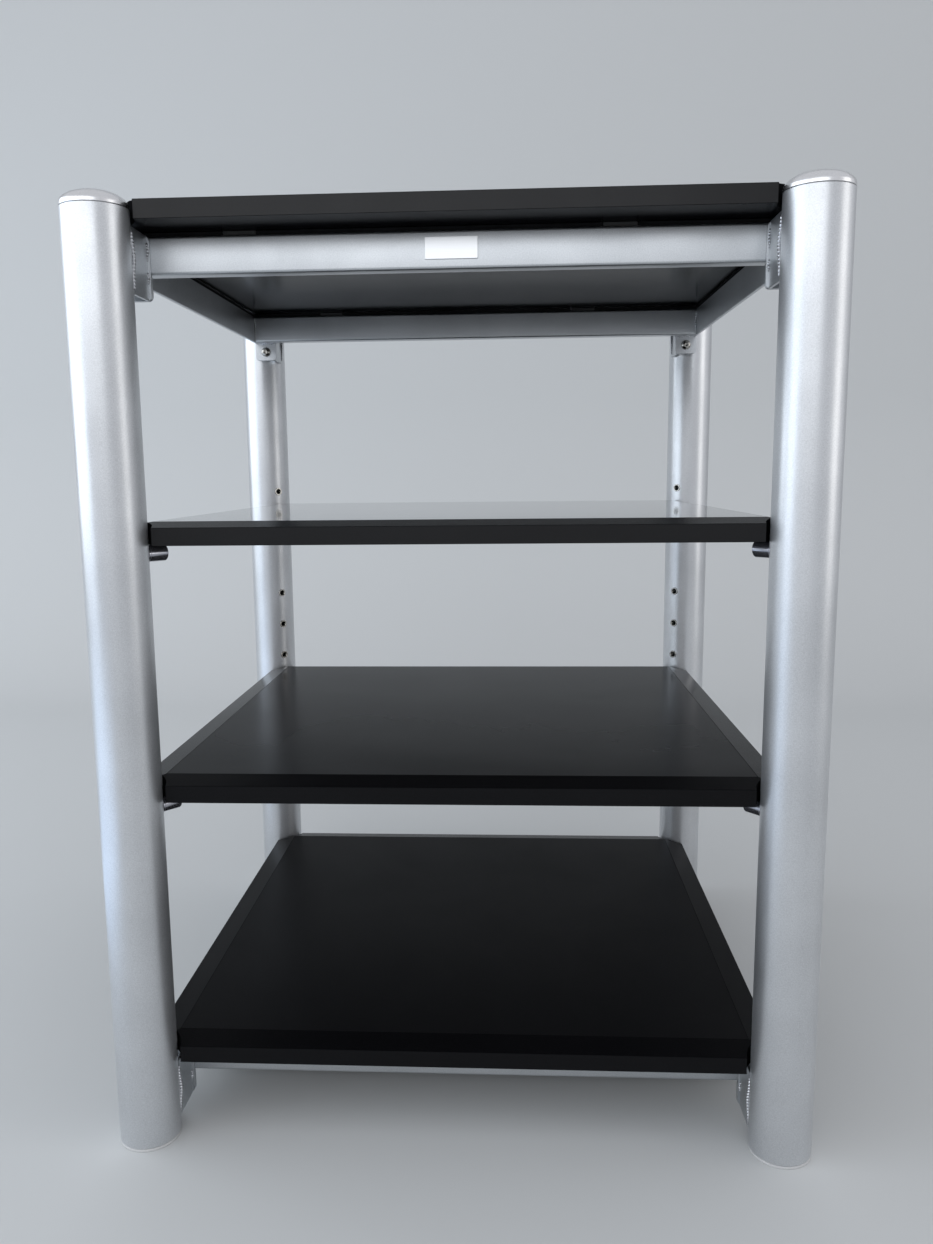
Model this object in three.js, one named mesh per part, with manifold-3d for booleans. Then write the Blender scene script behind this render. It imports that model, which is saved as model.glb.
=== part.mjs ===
// Audio equipment rack: four silver tube posts carry two welded frames and four black boards.
// Sizes are in millimetres. +Z is up, the front faces -Y, and the origin lies on the floor
// under the middle of the rack. Left is -X, as seen from the front.
import * as THREE from "three";
import { mergeVertices } from "three/addons/utils/BufferGeometryUtils.js";
import Module from "manifold-3d";

const wasm = await Module();
wasm.setup();

// Clearances
const CONTACT_GAP = 0.3;
const BOARD_POST_CLEARANCE = 3.75;
const CUT_OVERRUN = 4;

// Boards: a plain edge, then a shallow slope all round up to the flat top
const BOARD_WIDTH = 668;
const BOARD_DEPTH = 634;
const BOARD_EDGE_HEIGHT = 18;
const BOARD_SLOPE_RISE = 5;
const BOARD_SLOPE_RUN = 27;
const BOARD_THICKNESS = BOARD_EDGE_HEIGHT + BOARD_SLOPE_RISE;

// Posts: steel tubes at the corners, their middles just outside the board's edges
const POST_DIAMETER = 63.5;
const POST_WALL = 2;
const POST_TOP_HEIGHT = 953;
const POST_OUTSET_X = 1;
const POST_OUTSET_Y = 3;
const POST_RADIUS = POST_DIAMETER / 2;
const POST_BORE_RADIUS = POST_RADIUS - POST_WALL;
const POST_X = BOARD_WIDTH / 2 + POST_OUTSET_X;
const POST_Y = BOARD_DEPTH / 2 + POST_OUTSET_Y;
const POST_SIDES = 40;

// The board's corners are hollowed out in a round notch, so that they pass the posts
const BOARD_NOTCH_RADIUS = POST_RADIUS + BOARD_POST_CLEARANCE;
const BOARD_NOTCH_SIDES = 48;

// Caps and feet, each with a plug inside the tube
const CAP_RIM_HEIGHT = 2.5;
const CAP_DOME_RISE = 13.7;
const CAP_DOME_STEPS = 6;
const FOOT_THICKNESS = 3;
const PLUG_DEPTH = 20;
const ROUND_SIDES = 32;

// Rows of peg holes, on the side of each post that faces the inside of the rack
const HOLE_PITCH = 50.8;
const LOWER_HOLES_HEIGHT = 362.5;
const LOWER_HOLES_COUNT = 4;
const UPPER_HOLES_HEIGHT = 626.8;
const UPPER_HOLES_COUNT = 2;
const HOLE_TURN = THREE.MathUtils.degToRad(40);
const HOLE_SIDES = 12;

// Pegs: a stout head under the shelf, and a shank that slides in the hole
const PEG_DIAMETER = 17.4;
const PEG_LENGTH = 22;
const PEG_CHAMFER = 1;
const PEG_SHANK_DIAMETER = 8;
const PEG_SHANK_LENGTH = 14;
const PEG_RADIUS = PEG_DIAMETER / 2;
const PEG_SHANK_RADIUS = PEG_SHANK_DIAMETER / 2;
const HOLE_RADIUS = PEG_SHANK_RADIUS + CONTACT_GAP;
const PEG_SIDES = 20;

// Welded frames: rectangular tube at the front and back, flat bars at the sides
const FRAME_SETBACK = 51;
const FRAME_HALF_DEPTH = BOARD_DEPTH / 2 - FRAME_SETBACK;
const RAIL_HEIGHT = 37;
const RAIL_DEPTH = 20;
const RAIL_WALL = 2;
const RAIL_CORNER_RADIUS = 3;
const RAIL_CORNER_STEPS = 3;
const SIDE_BAR_THICKNESS = 4;
const SIDE_BAR_INNER_X = BOARD_WIDTH / 2 - SIDE_BAR_THICKNESS;
const RAIL_END_X = SIDE_BAR_INNER_X - CONTACT_GAP;
const RAIL_INNER_Y = FRAME_HALF_DEPTH - RAIL_DEPTH;
const TOP_FRAME_DROP = 13;
const TOP_FRAME_HEIGHT = POST_TOP_HEIGHT - TOP_FRAME_DROP;
const BOTTOM_FRAME_HEIGHT = 77.5;

// Tabs hang from the ends of the rails. A bracket has a plate that is bolted to the tab,
// and a leg that is welded to the post.
const PLATE_THICKNESS = 3;
const PLATE_CORNER_RADIUS = 5;
const TAB_DROP = 25.5;
const BRACKET_TUCK = 1.75;
const PLATE_LIP = 2.5;
const BRACKET_LEG_X = POST_X - POST_RADIUS + BRACKET_TUCK;
const PLATE_INNER_X = BRACKET_LEG_X - PLATE_LIP;
const PLATE_OUTER_X = BOARD_WIDTH / 2;
const TAB_INNER_Y = FRAME_HALF_DEPTH - PLATE_THICKNESS;
const BRACKET_PLATE_Y = FRAME_HALF_DEPTH + CONTACT_GAP;

// Bolts with a round head and a hexagon socket, in nuts welded to the brackets
const BOLT_DIAMETER = 8;
const BOLT_HEAD_DIAMETER = 14;
const BOLT_HEAD_HEIGHT = 4.4;
const BOLT_HEAD_ARC = Math.PI / 3;
const BOLT_HEAD_STEPS = 3;
const BOLT_SOCKET_WIDTH = 5;
const BOLT_SOCKET_DEPTH = 2.4;
const BOLT_END_REACH = 2;
const NUT_WIDTH = 13;
const NUT_HEIGHT = 6.5;
const BOLT_SIDES = 16;
const HEXAGON_SIDES = 6;
const BOLT_RADIUS = BOLT_DIAMETER / 2;
const BOLT_HOLE_RADIUS = BOLT_RADIUS + CONTACT_GAP;
const BOLT_X = (PLATE_INNER_X + PLATE_OUTER_X) / 2;

// Pads on the rails, which hold the top and bottom boards clear of the metal
const PAD_THICKNESS = 4;
const PAD_LENGTH = 34;
const PAD_WIDTH = RAIL_DEPTH - 2 * RAIL_CORNER_RADIUS;
const PAD_LEFT_X = -213;
const PAD_RIGHT_X = 163;

// Blank plate on the front rail
const NAME_PLATE_WIDTH = 52;
const NAME_PLATE_HEIGHT = 21;
const NAME_PLATE_THICKNESS = 1.2;
const NAME_PLATE_CORNER_RADIUS = 1;
const NAME_PLATE_MIDDLE_X = -2;
const NAME_PLATE_RAISE = 1.3;

// Heights of the boards' undersides, each from what carries it
const PAD_SEAT = PAD_THICKNESS + 2 * CONTACT_GAP;
const PEG_SEAT = PEG_RADIUS + CONTACT_GAP;
const BOARD_HEIGHTS = {
  top_board: TOP_FRAME_HEIGHT + PAD_SEAT,
  upper_shelf: UPPER_HOLES_HEIGHT + PEG_SEAT,
  lower_shelf: LOWER_HOLES_HEIGHT + PEG_SEAT,
  bottom_board: BOTTOM_FRAME_HEIGHT + PAD_SEAT,
};

// The four corners of the rack, as the signs of their X and Y
const CORNERS = {
  front_left: [-1, -1],
  front_right: [1, -1],
  rear_left: [-1, 1],
  rear_right: [1, 1],
};

const COLOURS = {
  silver: { color: 0xbfc3ca, roughness: 0.42, metalness: 0.7 },
  bright: { color: 0xd2d5da, roughness: 0.3, metalness: 0.85 },
  black: { color: 0x141416, roughness: 0.38, metalness: 0 },
  gunmetal: { color: 0x2b2b2f, roughness: 0.4, metalness: 0.6 },
  steel: { color: 0x9b9a97, roughness: 0.25, metalness: 1 },
  rubber: { color: 0x2a2a2a, roughness: 0.8, metalness: 0 },
  grey: { color: 0xb9bcc0, roughness: 0.6, metalness: 0 },
};

const rack = new THREE.Group();

function addPiece(name, geometry, colour) {
  const mesh = new THREE.Mesh(geometry, new THREE.MeshStandardMaterial(COLOURS[colour]));
  mesh.name = name;
  rack.add(mesh);
  return mesh;
}

// A closed mesh with shared corners and no collapsed triangles
function welded(geometry) {
  const bare = geometry.clone();
  bare.deleteAttribute("normal");
  bare.deleteAttribute("uv");
  const merged = mergeVertices(bare);
  const kept = [];
  for (let i = 0; i < merged.index.count; i += 3) {
    const [a, b, c] = [merged.index.getX(i), merged.index.getX(i + 1), merged.index.getX(i + 2)];
    if (a !== b && b !== c && c !== a) {
      kept.push(a, b, c);
    }
  }
  merged.setIndex(kept);
  return merged;
}

function solidOf(geometry) {
  const mesh = welded(geometry);
  return new wasm.Manifold(new wasm.Mesh({
    numProp: 3,
    vertProperties: new Float32Array(mesh.attributes.position.array),
    triVerts: new Uint32Array(mesh.index.array),
  }));
}

function geometryOf(solid) {
  const { vertProperties, triVerts } = solid.getMesh();
  const geometry = new THREE.BufferGeometry();
  geometry.setAttribute("position", new THREE.BufferAttribute(vertProperties, 3));
  geometry.setIndex(new THREE.BufferAttribute(triVerts, 1));
  geometry.computeVertexNormals();
  return geometry;
}

// Pieces are drawn for the rear right corner; the other corners are its mirror images
function mirrored(geometry, [signX, signY]) {
  const copy = welded(geometry).scale(signX, signY, 1);
  if (signX * signY < 0) {
    const index = copy.index;
    for (let i = 0; i < index.count; i += 3) {
      const [b, c] = [index.getX(i + 1), index.getX(i + 2)];
      index.setX(i + 1, c);
      index.setX(i + 2, b);
    }
  }
  copy.computeVertexNormals();
  return copy;
}

// A turned piece: the profile's pairs are radius and height, and its axis is Z
function turned(profile, sides) {
  const points = profile.map(([radius, height]) => new THREE.Vector2(radius, height));
  return new THREE.LatheGeometry(points, sides).rotateX(Math.PI / 2);
}

function roundedRectangle(target, lowX, lowY, highX, highY, radius) {
  target.moveTo(lowX + radius, lowY);
  target.lineTo(highX - radius, lowY);
  target.absarc(highX - radius, lowY + radius, radius, -Math.PI / 2, 0);
  target.lineTo(highX, highY - radius);
  target.absarc(highX - radius, highY - radius, radius, 0, Math.PI / 2);
  target.lineTo(lowX + radius, highY);
  target.absarc(lowX + radius, highY - radius, radius, Math.PI / 2, Math.PI);
  target.lineTo(lowX, lowY + radius);
  target.absarc(lowX + radius, lowY + radius, radius, Math.PI, 1.5 * Math.PI);
  return target;
}

function extruded(shape, depth, steps = RAIL_CORNER_STEPS) {
  return new THREE.ExtrudeGeometry(shape, { depth, bevelEnabled: false, curveSegments: steps });
}

// A shape drawn in Y and Z, made thick along X from lowX
const ALONG_X = new THREE.Matrix4().makeBasis(
  new THREE.Vector3(0, 1, 0),
  new THREE.Vector3(0, 0, 1),
  new THREE.Vector3(1, 0, 0),
);

function extrudedAlongX(shape, lowX, highX) {
  return extruded(shape, highX - lowX).applyMatrix4(ALONG_X).translate(lowX, 0, 0);
}

// A shape drawn in X and Z, made thick along Y from lowY
function extrudedAlongY(shape, lowY, highY) {
  return extruded(shape, highY - lowY).rotateX(Math.PI / 2).translate(0, highY, 0);
}

function block(lowX, lowY, lowZ, highX, highY, highZ) {
  const box = new THREE.BoxGeometry(highX - lowX, highY - lowY, highZ - lowZ);
  return box.translate((lowX + highX) / 2, (lowY + highY) / 2, (lowZ + highZ) / 2);
}

// Straight walls through rings of points, with a flat face on the first and the last ring
function lofted(rings) {
  const sides = rings[0].length;
  const positions = rings.flat(2);
  const index = [];
  for (let ring = 0; ring < rings.length - 1; ring += 1) {
    for (let i = 0; i < sides; i += 1) {
      const a = ring * sides + i;
      const b = ring * sides + (i + 1) % sides;
      index.push(a, b, b + sides, a, b + sides, a + sides);
    }
  }
  const last = (rings.length - 1) * sides;
  for (let i = 1; i < sides - 1; i += 1) {
    index.push(0, i + 1, i);
    index.push(last, last + i, last + i + 1);
  }
  const geometry = new THREE.BufferGeometry();
  geometry.setAttribute("position", new THREE.Float32BufferAttribute(positions, 3));
  geometry.setIndex(index);
  geometry.computeVertexNormals();
  return geometry;
}

// The outline of a board before its corners are notched, drawn in from its edges by an inset
function boardRing(inset, height) {
  const halfWidth = BOARD_WIDTH / 2 - inset;
  const halfDepth = BOARD_DEPTH / 2 - inset;
  return [
    [-halfWidth, -halfDepth, height],
    [halfWidth, -halfDepth, height],
    [halfWidth, halfDepth, height],
    [-halfWidth, halfDepth, height],
  ];
}

function makeBoards() {
  for (const [name, underside] of Object.entries(BOARD_HEIGHTS)) {
    let board = solidOf(lofted([
      boardRing(0, underside),
      boardRing(0, underside + BOARD_EDGE_HEIGHT),
      boardRing(BOARD_SLOPE_RUN, underside + BOARD_THICKNESS),
    ]));
    const low = underside - CUT_OVERRUN;
    const high = underside + BOARD_THICKNESS + CUT_OVERRUN;
    const cutter = turned([
      [0, low],
      [BOARD_NOTCH_RADIUS, low],
      [BOARD_NOTCH_RADIUS, high],
      [0, high],
    ], BOARD_NOTCH_SIDES);
    for (const [signX, signY] of Object.values(CORNERS)) {
      const notch = solidOf(cutter.clone().translate(signX * POST_X, signY * POST_Y, 0));
      board = board.subtract(notch);
    }
    addPiece(name, geometryOf(board), "black");
  }
}

function holeHeights() {
  const heights = [];
  for (let i = 0; i < LOWER_HOLES_COUNT; i += 1) {
    heights.push(LOWER_HOLES_HEIGHT + i * HOLE_PITCH);
  }
  for (let i = 0; i < UPPER_HOLES_COUNT; i += 1) {
    heights.push(UPPER_HOLES_HEIGHT + i * HOLE_PITCH);
  }
  return heights;
}

// Moves a piece that points along +Z to a peg hole, so that it points at the inside of the rack.
// Its zero lies a contact gap in front of the post's face.
function placedAtHole(geometry, height) {
  const reach = POST_RADIUS + CONTACT_GAP;
  geometry.rotateX(-Math.PI / 2).rotateZ(Math.PI - HOLE_TURN);
  return geometry.translate(
    POST_X - reach * Math.sin(HOLE_TURN),
    POST_Y - reach * Math.cos(HOLE_TURN),
    height,
  );
}

function makePosts() {
  const foot = FOOT_THICKNESS + CONTACT_GAP;
  let post = solidOf(turned([
    [POST_BORE_RADIUS, foot],
    [POST_RADIUS, foot],
    [POST_RADIUS, POST_TOP_HEIGHT],
    [POST_BORE_RADIUS, POST_TOP_HEIGHT],
    [POST_BORE_RADIUS, foot],
  ], POST_SIDES).translate(POST_X, POST_Y, 0));
  const drillDepth = POST_WALL + CUT_OVERRUN + CONTACT_GAP;
  for (const height of holeHeights()) {
    const drill = turned([
      [0, -drillDepth],
      [HOLE_RADIUS, -drillDepth],
      [HOLE_RADIUS, CUT_OVERRUN],
      [0, CUT_OVERRUN],
    ], HOLE_SIDES);
    post = post.subtract(solidOf(placedAtHole(drill, height)));
  }
  const geometry = geometryOf(post);
  for (const [corner, signs] of Object.entries(CORNERS)) {
    addPiece(`post_${corner}`, mirrored(geometry, signs), "silver");
  }
}

function makeCaps() {
  const plugRadius = POST_BORE_RADIUS - CONTACT_GAP;
  const seat = POST_TOP_HEIGHT + CONTACT_GAP;
  const profile = [
    [0, POST_TOP_HEIGHT - PLUG_DEPTH],
    [plugRadius, POST_TOP_HEIGHT - PLUG_DEPTH],
    [plugRadius, seat],
    [POST_RADIUS, seat],
  ];
  for (let step = 0; step <= CAP_DOME_STEPS; step += 1) {
    const angle = (step / CAP_DOME_STEPS) * Math.PI / 2;
    const radius = step === CAP_DOME_STEPS ? 0 : POST_RADIUS * Math.cos(angle);
    profile.push([radius, seat + CAP_RIM_HEIGHT + CAP_DOME_RISE * Math.sin(angle)]);
  }
  const geometry = turned(profile, POST_SIDES).translate(POST_X, POST_Y, 0);
  for (const [corner, signs] of Object.entries(CORNERS)) {
    addPiece(`cap_${corner}`, mirrored(geometry, signs), "bright");
  }
}

function makeFeet() {
  const plugRadius = POST_BORE_RADIUS - CONTACT_GAP;
  const geometry = turned([
    [0, 0],
    [POST_RADIUS, 0],
    [POST_RADIUS, FOOT_THICKNESS],
    [plugRadius, FOOT_THICKNESS],
    [plugRadius, FOOT_THICKNESS + PLUG_DEPTH],
    [0, FOOT_THICKNESS + PLUG_DEPTH],
  ], ROUND_SIDES).translate(POST_X, POST_Y, 0);
  for (const [corner, signs] of Object.entries(CORNERS)) {
    addPiece(`foot_${corner}`, mirrored(geometry, signs), "grey");
  }
}

function makePegs() {
  const rows = { upper: UPPER_HOLES_HEIGHT, lower: LOWER_HOLES_HEIGHT };
  for (const [row, height] of Object.entries(rows)) {
    const peg = turned([
      [0, -PEG_SHANK_LENGTH],
      [PEG_SHANK_RADIUS, -PEG_SHANK_LENGTH],
      [PEG_SHANK_RADIUS, 0],
      [PEG_RADIUS, 0],
      [PEG_RADIUS, PEG_LENGTH - PEG_CHAMFER],
      [PEG_RADIUS - PEG_CHAMFER, PEG_LENGTH],
      [0, PEG_LENGTH],
    ], PEG_SIDES);
    const geometry = placedAtHole(peg, height);
    for (const [corner, signs] of Object.entries(CORNERS)) {
      addPiece(`${row}_peg_${corner}`, mirrored(geometry, signs), "gunmetal");
    }
  }
}

// A hole for a bolt, along Y
function boltHole(height) {
  const length = PLATE_THICKNESS + NUT_HEIGHT + CUT_OVERRUN;
  const hole = new THREE.CylinderGeometry(BOLT_HOLE_RADIUS, BOLT_HOLE_RADIUS, 2 * length, BOLT_SIDES);
  return solidOf(hole.translate(BOLT_X, BRACKET_PLATE_Y, height));
}

// How high a bolt of a frame lies: in the middle of the tab's drop
function boltHeight(frameHeight) {
  return frameHeight - RAIL_HEIGHT - TAB_DROP / 2;
}

// The tab under a rail's right end. Its neck reaches up into the rail's outer wall.
function tabSolid(frameHeight) {
  const railUnderside = frameHeight - RAIL_HEIGHT;
  const shape = new THREE.Shape();
  roundedRectangle(
    shape,
    PLATE_INNER_X,
    railUnderside - TAB_DROP,
    PLATE_OUTER_X,
    railUnderside - CONTACT_GAP,
    PLATE_CORNER_RADIUS,
  );
  const plate = solidOf(extrudedAlongY(shape, TAB_INNER_Y, FRAME_HALF_DEPTH));
  const neck = block(
    PLATE_INNER_X,
    TAB_INNER_Y,
    railUnderside - TAB_DROP / 2,
    RAIL_END_X,
    FRAME_HALF_DEPTH,
    railUnderside + RAIL_CORNER_RADIUS,
  );
  return plate.add(solidOf(neck)).subtract(boltHole(boltHeight(frameHeight)));
}

// The rail at the back of a frame, a rectangular tube with a tab under each end
function railGeometry(frameHeight) {
  const low = frameHeight - RAIL_HEIGHT;
  const section = new THREE.Shape();
  roundedRectangle(section, RAIL_INNER_Y, low, FRAME_HALF_DEPTH, frameHeight, RAIL_CORNER_RADIUS);
  const hollow = new THREE.Path();
  roundedRectangle(
    hollow,
    RAIL_INNER_Y + RAIL_WALL,
    low + RAIL_WALL,
    FRAME_HALF_DEPTH - RAIL_WALL,
    frameHeight - RAIL_WALL,
    RAIL_CORNER_RADIUS - RAIL_WALL,
  );
  section.holes.push(hollow);
  let rail = solidOf(extrudedAlongX(section, -RAIL_END_X, RAIL_END_X));
  const tab = geometryOf(tabSolid(frameHeight));
  for (const signX of [-1, 1]) {
    rail = rail.add(solidOf(mirrored(tab, [signX, 1])));
  }
  return geometryOf(rail);
}

// The nut welded to the outside of a bracket's plate
function nutSolid(frameHeight) {
  const radius = NUT_WIDTH / 2 / Math.cos(Math.PI / HEXAGON_SIDES);
  const length = PLATE_THICKNESS + NUT_HEIGHT;
  const nut = new THREE.CylinderGeometry(radius, radius, length, HEXAGON_SIDES);
  return solidOf(nut.translate(BOLT_X, BRACKET_PLATE_Y + length / 2, boltHeight(frameHeight)));
}

// A bracket at the rear right: its leg reaches from the plate back to the post
function bracketGeometry(frameHeight) {
  const low = frameHeight - RAIL_HEIGHT - TAB_DROP;
  const leg = solidOf(block(
    BRACKET_LEG_X,
    BRACKET_PLATE_Y,
    low,
    BRACKET_LEG_X + PLATE_THICKNESS,
    POST_Y,
    frameHeight,
  ));
  const shape = new THREE.Shape();
  roundedRectangle(shape, PLATE_INNER_X, low, PLATE_OUTER_X, frameHeight, PLATE_CORNER_RADIUS);
  const plate = solidOf(extrudedAlongY(shape, BRACKET_PLATE_Y, BRACKET_PLATE_Y + PLATE_THICKNESS));
  const postRoom = solidOf(turned([
    [0, low - CUT_OVERRUN],
    [POST_RADIUS + CONTACT_GAP, low - CUT_OVERRUN],
    [POST_RADIUS + CONTACT_GAP, frameHeight + CUT_OVERRUN],
    [0, frameHeight + CUT_OVERRUN],
  ], POST_SIDES).translate(POST_X, POST_Y, 0));
  const whole = leg.add(plate).add(nutSolid(frameHeight));
  return geometryOf(whole.subtract(boltHole(boltHeight(frameHeight))).subtract(postRoom));
}

// A bolt at the rear right, its head towards the inside of the rack
function boltGeometry(frameHeight) {
  const reach = 2 * PLATE_THICKNESS + 2 * CONTACT_GAP + NUT_HEIGHT + BOLT_END_REACH;
  const profile = [
    [0, -reach],
    [BOLT_RADIUS, -reach],
    [BOLT_RADIUS, 0],
  ];
  for (let step = 0; step <= BOLT_HEAD_STEPS; step += 1) {
    const angle = (step / BOLT_HEAD_STEPS) * BOLT_HEAD_ARC;
    const rise = BOLT_HEAD_HEIGHT * Math.sin(angle) / Math.sin(BOLT_HEAD_ARC);
    profile.push([BOLT_HEAD_DIAMETER / 2 * Math.cos(angle), rise]);
  }
  profile.push([0, BOLT_HEAD_HEIGHT]);
  const bolt = solidOf(turned(profile, BOLT_SIDES));
  const socketRadius = BOLT_SOCKET_WIDTH / 2 / Math.cos(Math.PI / HEXAGON_SIDES);
  const socketLength = BOLT_SOCKET_DEPTH + CUT_OVERRUN;
  const socket = new THREE.CylinderGeometry(socketRadius, socketRadius, socketLength, HEXAGON_SIDES);
  socket.rotateX(Math.PI / 2).translate(0, 0, BOLT_HEAD_HEIGHT - BOLT_SOCKET_DEPTH + socketLength / 2);
  return geometryOf(bolt.subtract(solidOf(socket)))
    .rotateX(Math.PI / 2)
    .translate(BOLT_X, TAB_INNER_Y - CONTACT_GAP, boltHeight(frameHeight));
}

function makeFrame(place, frameHeight) {
  const rail = railGeometry(frameHeight);
  addPiece(`${place}_rail_rear`, mirrored(rail, [1, 1]), "silver");
  addPiece(`${place}_rail_front`, mirrored(rail, [1, -1]), "silver");
  const sideBar = block(
    SIDE_BAR_INNER_X,
    -FRAME_HALF_DEPTH,
    frameHeight - RAIL_HEIGHT,
    SIDE_BAR_INNER_X + SIDE_BAR_THICKNESS,
    FRAME_HALF_DEPTH,
    frameHeight,
  );
  addPiece(`${place}_side_bar_right`, mirrored(sideBar, [1, 1]), "silver");
  addPiece(`${place}_side_bar_left`, mirrored(sideBar, [-1, 1]), "silver");
  const bracket = bracketGeometry(frameHeight);
  const bolt = boltGeometry(frameHeight);
  for (const [corner, signs] of Object.entries(CORNERS)) {
    addPiece(`${place}_bracket_${corner}`, mirrored(bracket, signs), "silver");
    addPiece(`${place}_bolt_${corner}`, mirrored(bolt, signs), "steel");
  }
}

function makePads(place, frameHeight) {
  const middleY = FRAME_HALF_DEPTH - RAIL_DEPTH / 2;
  const sides = { left: PAD_LEFT_X, right: PAD_RIGHT_X };
  for (const [end, signY] of Object.entries({ front: -1, rear: 1 })) {
    for (const [side, middleX] of Object.entries(sides)) {
      const pad = new THREE.BoxGeometry(PAD_LENGTH, PAD_WIDTH, PAD_THICKNESS);
      pad.translate(middleX, signY * middleY, frameHeight + CONTACT_GAP + PAD_THICKNESS / 2);
      addPiece(`${place}_pad_${end}_${side}`, pad, "rubber");
    }
  }
}

function makeNamePlate() {
  const middle = TOP_FRAME_HEIGHT - RAIL_HEIGHT / 2 + NAME_PLATE_RAISE;
  const shape = new THREE.Shape();
  roundedRectangle(
    shape,
    NAME_PLATE_MIDDLE_X - NAME_PLATE_WIDTH / 2,
    middle - NAME_PLATE_HEIGHT / 2,
    NAME_PLATE_MIDDLE_X + NAME_PLATE_WIDTH / 2,
    middle + NAME_PLATE_HEIGHT / 2,
    NAME_PLATE_CORNER_RADIUS,
  );
  const back = -FRAME_HALF_DEPTH - CONTACT_GAP;
  addPiece("name_plate", extrudedAlongY(shape, back - NAME_PLATE_THICKNESS, back), "bright");
}

makePosts();
makeCaps();
makeFeet();
makeFrame("top", TOP_FRAME_HEIGHT);
makeFrame("bottom", BOTTOM_FRAME_HEIGHT);
makePads("top", TOP_FRAME_HEIGHT);
makePads("bottom", BOTTOM_FRAME_HEIGHT);
makePegs();
makeBoards();
makeNamePlate();

export default rack;
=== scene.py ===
# %% [markdown]
# # An audio equipment rack
# Four round silver posts stand at the corners of the rack. Two welded steel frames tie them
# together, one near the top and one just above the floor. A black board lies on each frame, and
# two more black boards rest on pegs between them, so that they can be set higher or lower.
# The bare model of the rack comes in with flat facets. This notebook gives each piece the round
# corners and soft edges of the real one, and then its finish.

# %% Load the bare model
import math

import bmesh
import bpy
from mathutils import Matrix, Vector


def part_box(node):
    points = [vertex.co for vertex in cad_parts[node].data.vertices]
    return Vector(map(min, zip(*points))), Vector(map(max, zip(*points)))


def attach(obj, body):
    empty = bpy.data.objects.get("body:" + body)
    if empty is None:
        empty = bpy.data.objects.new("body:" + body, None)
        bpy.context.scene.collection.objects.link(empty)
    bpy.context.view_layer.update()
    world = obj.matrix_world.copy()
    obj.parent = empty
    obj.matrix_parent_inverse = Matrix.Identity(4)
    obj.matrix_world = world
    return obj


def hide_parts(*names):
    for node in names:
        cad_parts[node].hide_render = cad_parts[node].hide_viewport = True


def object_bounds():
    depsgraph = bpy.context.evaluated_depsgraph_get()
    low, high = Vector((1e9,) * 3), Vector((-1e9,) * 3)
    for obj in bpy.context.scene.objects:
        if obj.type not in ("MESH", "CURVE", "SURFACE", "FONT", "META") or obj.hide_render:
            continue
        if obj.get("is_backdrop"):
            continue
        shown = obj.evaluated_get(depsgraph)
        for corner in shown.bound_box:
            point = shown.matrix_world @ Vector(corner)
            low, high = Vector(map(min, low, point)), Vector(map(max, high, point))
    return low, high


MM = 0.001

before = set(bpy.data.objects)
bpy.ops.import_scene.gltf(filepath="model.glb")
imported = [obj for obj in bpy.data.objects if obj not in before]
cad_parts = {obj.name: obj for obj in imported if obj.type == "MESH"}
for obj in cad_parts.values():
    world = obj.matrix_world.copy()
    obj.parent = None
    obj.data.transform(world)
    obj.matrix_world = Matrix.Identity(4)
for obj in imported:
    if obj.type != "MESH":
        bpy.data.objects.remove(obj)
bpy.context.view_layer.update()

# %% [markdown]
# ## The camera
# The picture was taken by hand, about 0.95 m in front of the posts and 0.7 m above the floor, and
# tilted down a little. A camera could be aimed with a constraint, but its turns are known here, so
# it is built from three directions: forward, right and up. The lens is given in pixels of the
# picture, which Blender wants as millimetres on a 36 mm sensor along the longer side.

# %% Camera
PICTURE_WIDTH = 933
PICTURE_HEIGHT = 1244
LENS_PIXELS = 987.5
LENS_CENTRE_X = 458.0
SENSOR_WIDTH = 36
CAMERA_PLACE = Vector((0.0555, -1.2772, 0.7048))
CAMERA_YAW = math.radians(-3.10)
CAMERA_PITCH = math.radians(-8.61)
CAMERA_ROLL = math.radians(-0.60)


def camera_turn(yaw, pitch, roll):
    """The camera's rotation. It looks along its own -Z, and its +Y is up."""
    forward = Vector((math.sin(yaw) * math.cos(pitch), math.cos(yaw) * math.cos(pitch), math.sin(pitch)))
    level_right = Vector((math.cos(yaw), -math.sin(yaw), 0))
    level_up = level_right.cross(forward)
    right = level_right * math.cos(roll) + level_up * math.sin(roll)
    up = right.cross(forward)
    return Matrix((right, up, -forward)).transposed().to_4x4()


camera_data = bpy.data.cameras.new("camera")
camera_data.sensor_width = SENSOR_WIDTH
camera_data.lens = LENS_PIXELS / PICTURE_HEIGHT * SENSOR_WIDTH
camera_data.shift_x = (PICTURE_WIDTH / 2 - LENS_CENTRE_X) / PICTURE_HEIGHT
camera = bpy.data.objects.new("camera", camera_data)
camera.matrix_world = Matrix.Translation(CAMERA_PLACE) @ camera_turn(CAMERA_YAW, CAMERA_PITCH, CAMERA_ROLL)
bpy.context.collection.objects.link(camera)
bpy.context.scene.camera = camera
print("lens", round(camera_data.lens, 2), "mm, shift", round(camera_data.shift_x, 4))

# %% [markdown]
# ## Effects that several finishes share
# A real finish is never one flat colour. Silver powder coat holds metal flakes, lacquer is sprayed
# a little unevenly, and dust settles on what faces up. Each effect is a node group: a small
# machine with named inputs and outputs, built once and placed in each material with its own
# values. That keeps the materials short, and one change mends them all.

# %% Helpers for node groups
VALUE = "NodeSocketFloat"
COLOUR = "NodeSocketColor"


def new_effect(name, inputs, outputs):
    """An empty node group. Inputs map a name to its kind and usual value, outputs to a kind."""
    group = bpy.data.node_groups.new(name, "ShaderNodeTree")
    for label, (kind, value) in inputs.items():
        socket = group.interface.new_socket(name=label, in_out="INPUT", socket_type=kind)
        socket.default_value = value
    for label, kind in outputs.items():
        group.interface.new_socket(name=label, in_out="OUTPUT", socket_type=kind)
    return group, group.nodes.new("NodeGroupInput").outputs, group.nodes.new("NodeGroupOutput").inputs


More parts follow.
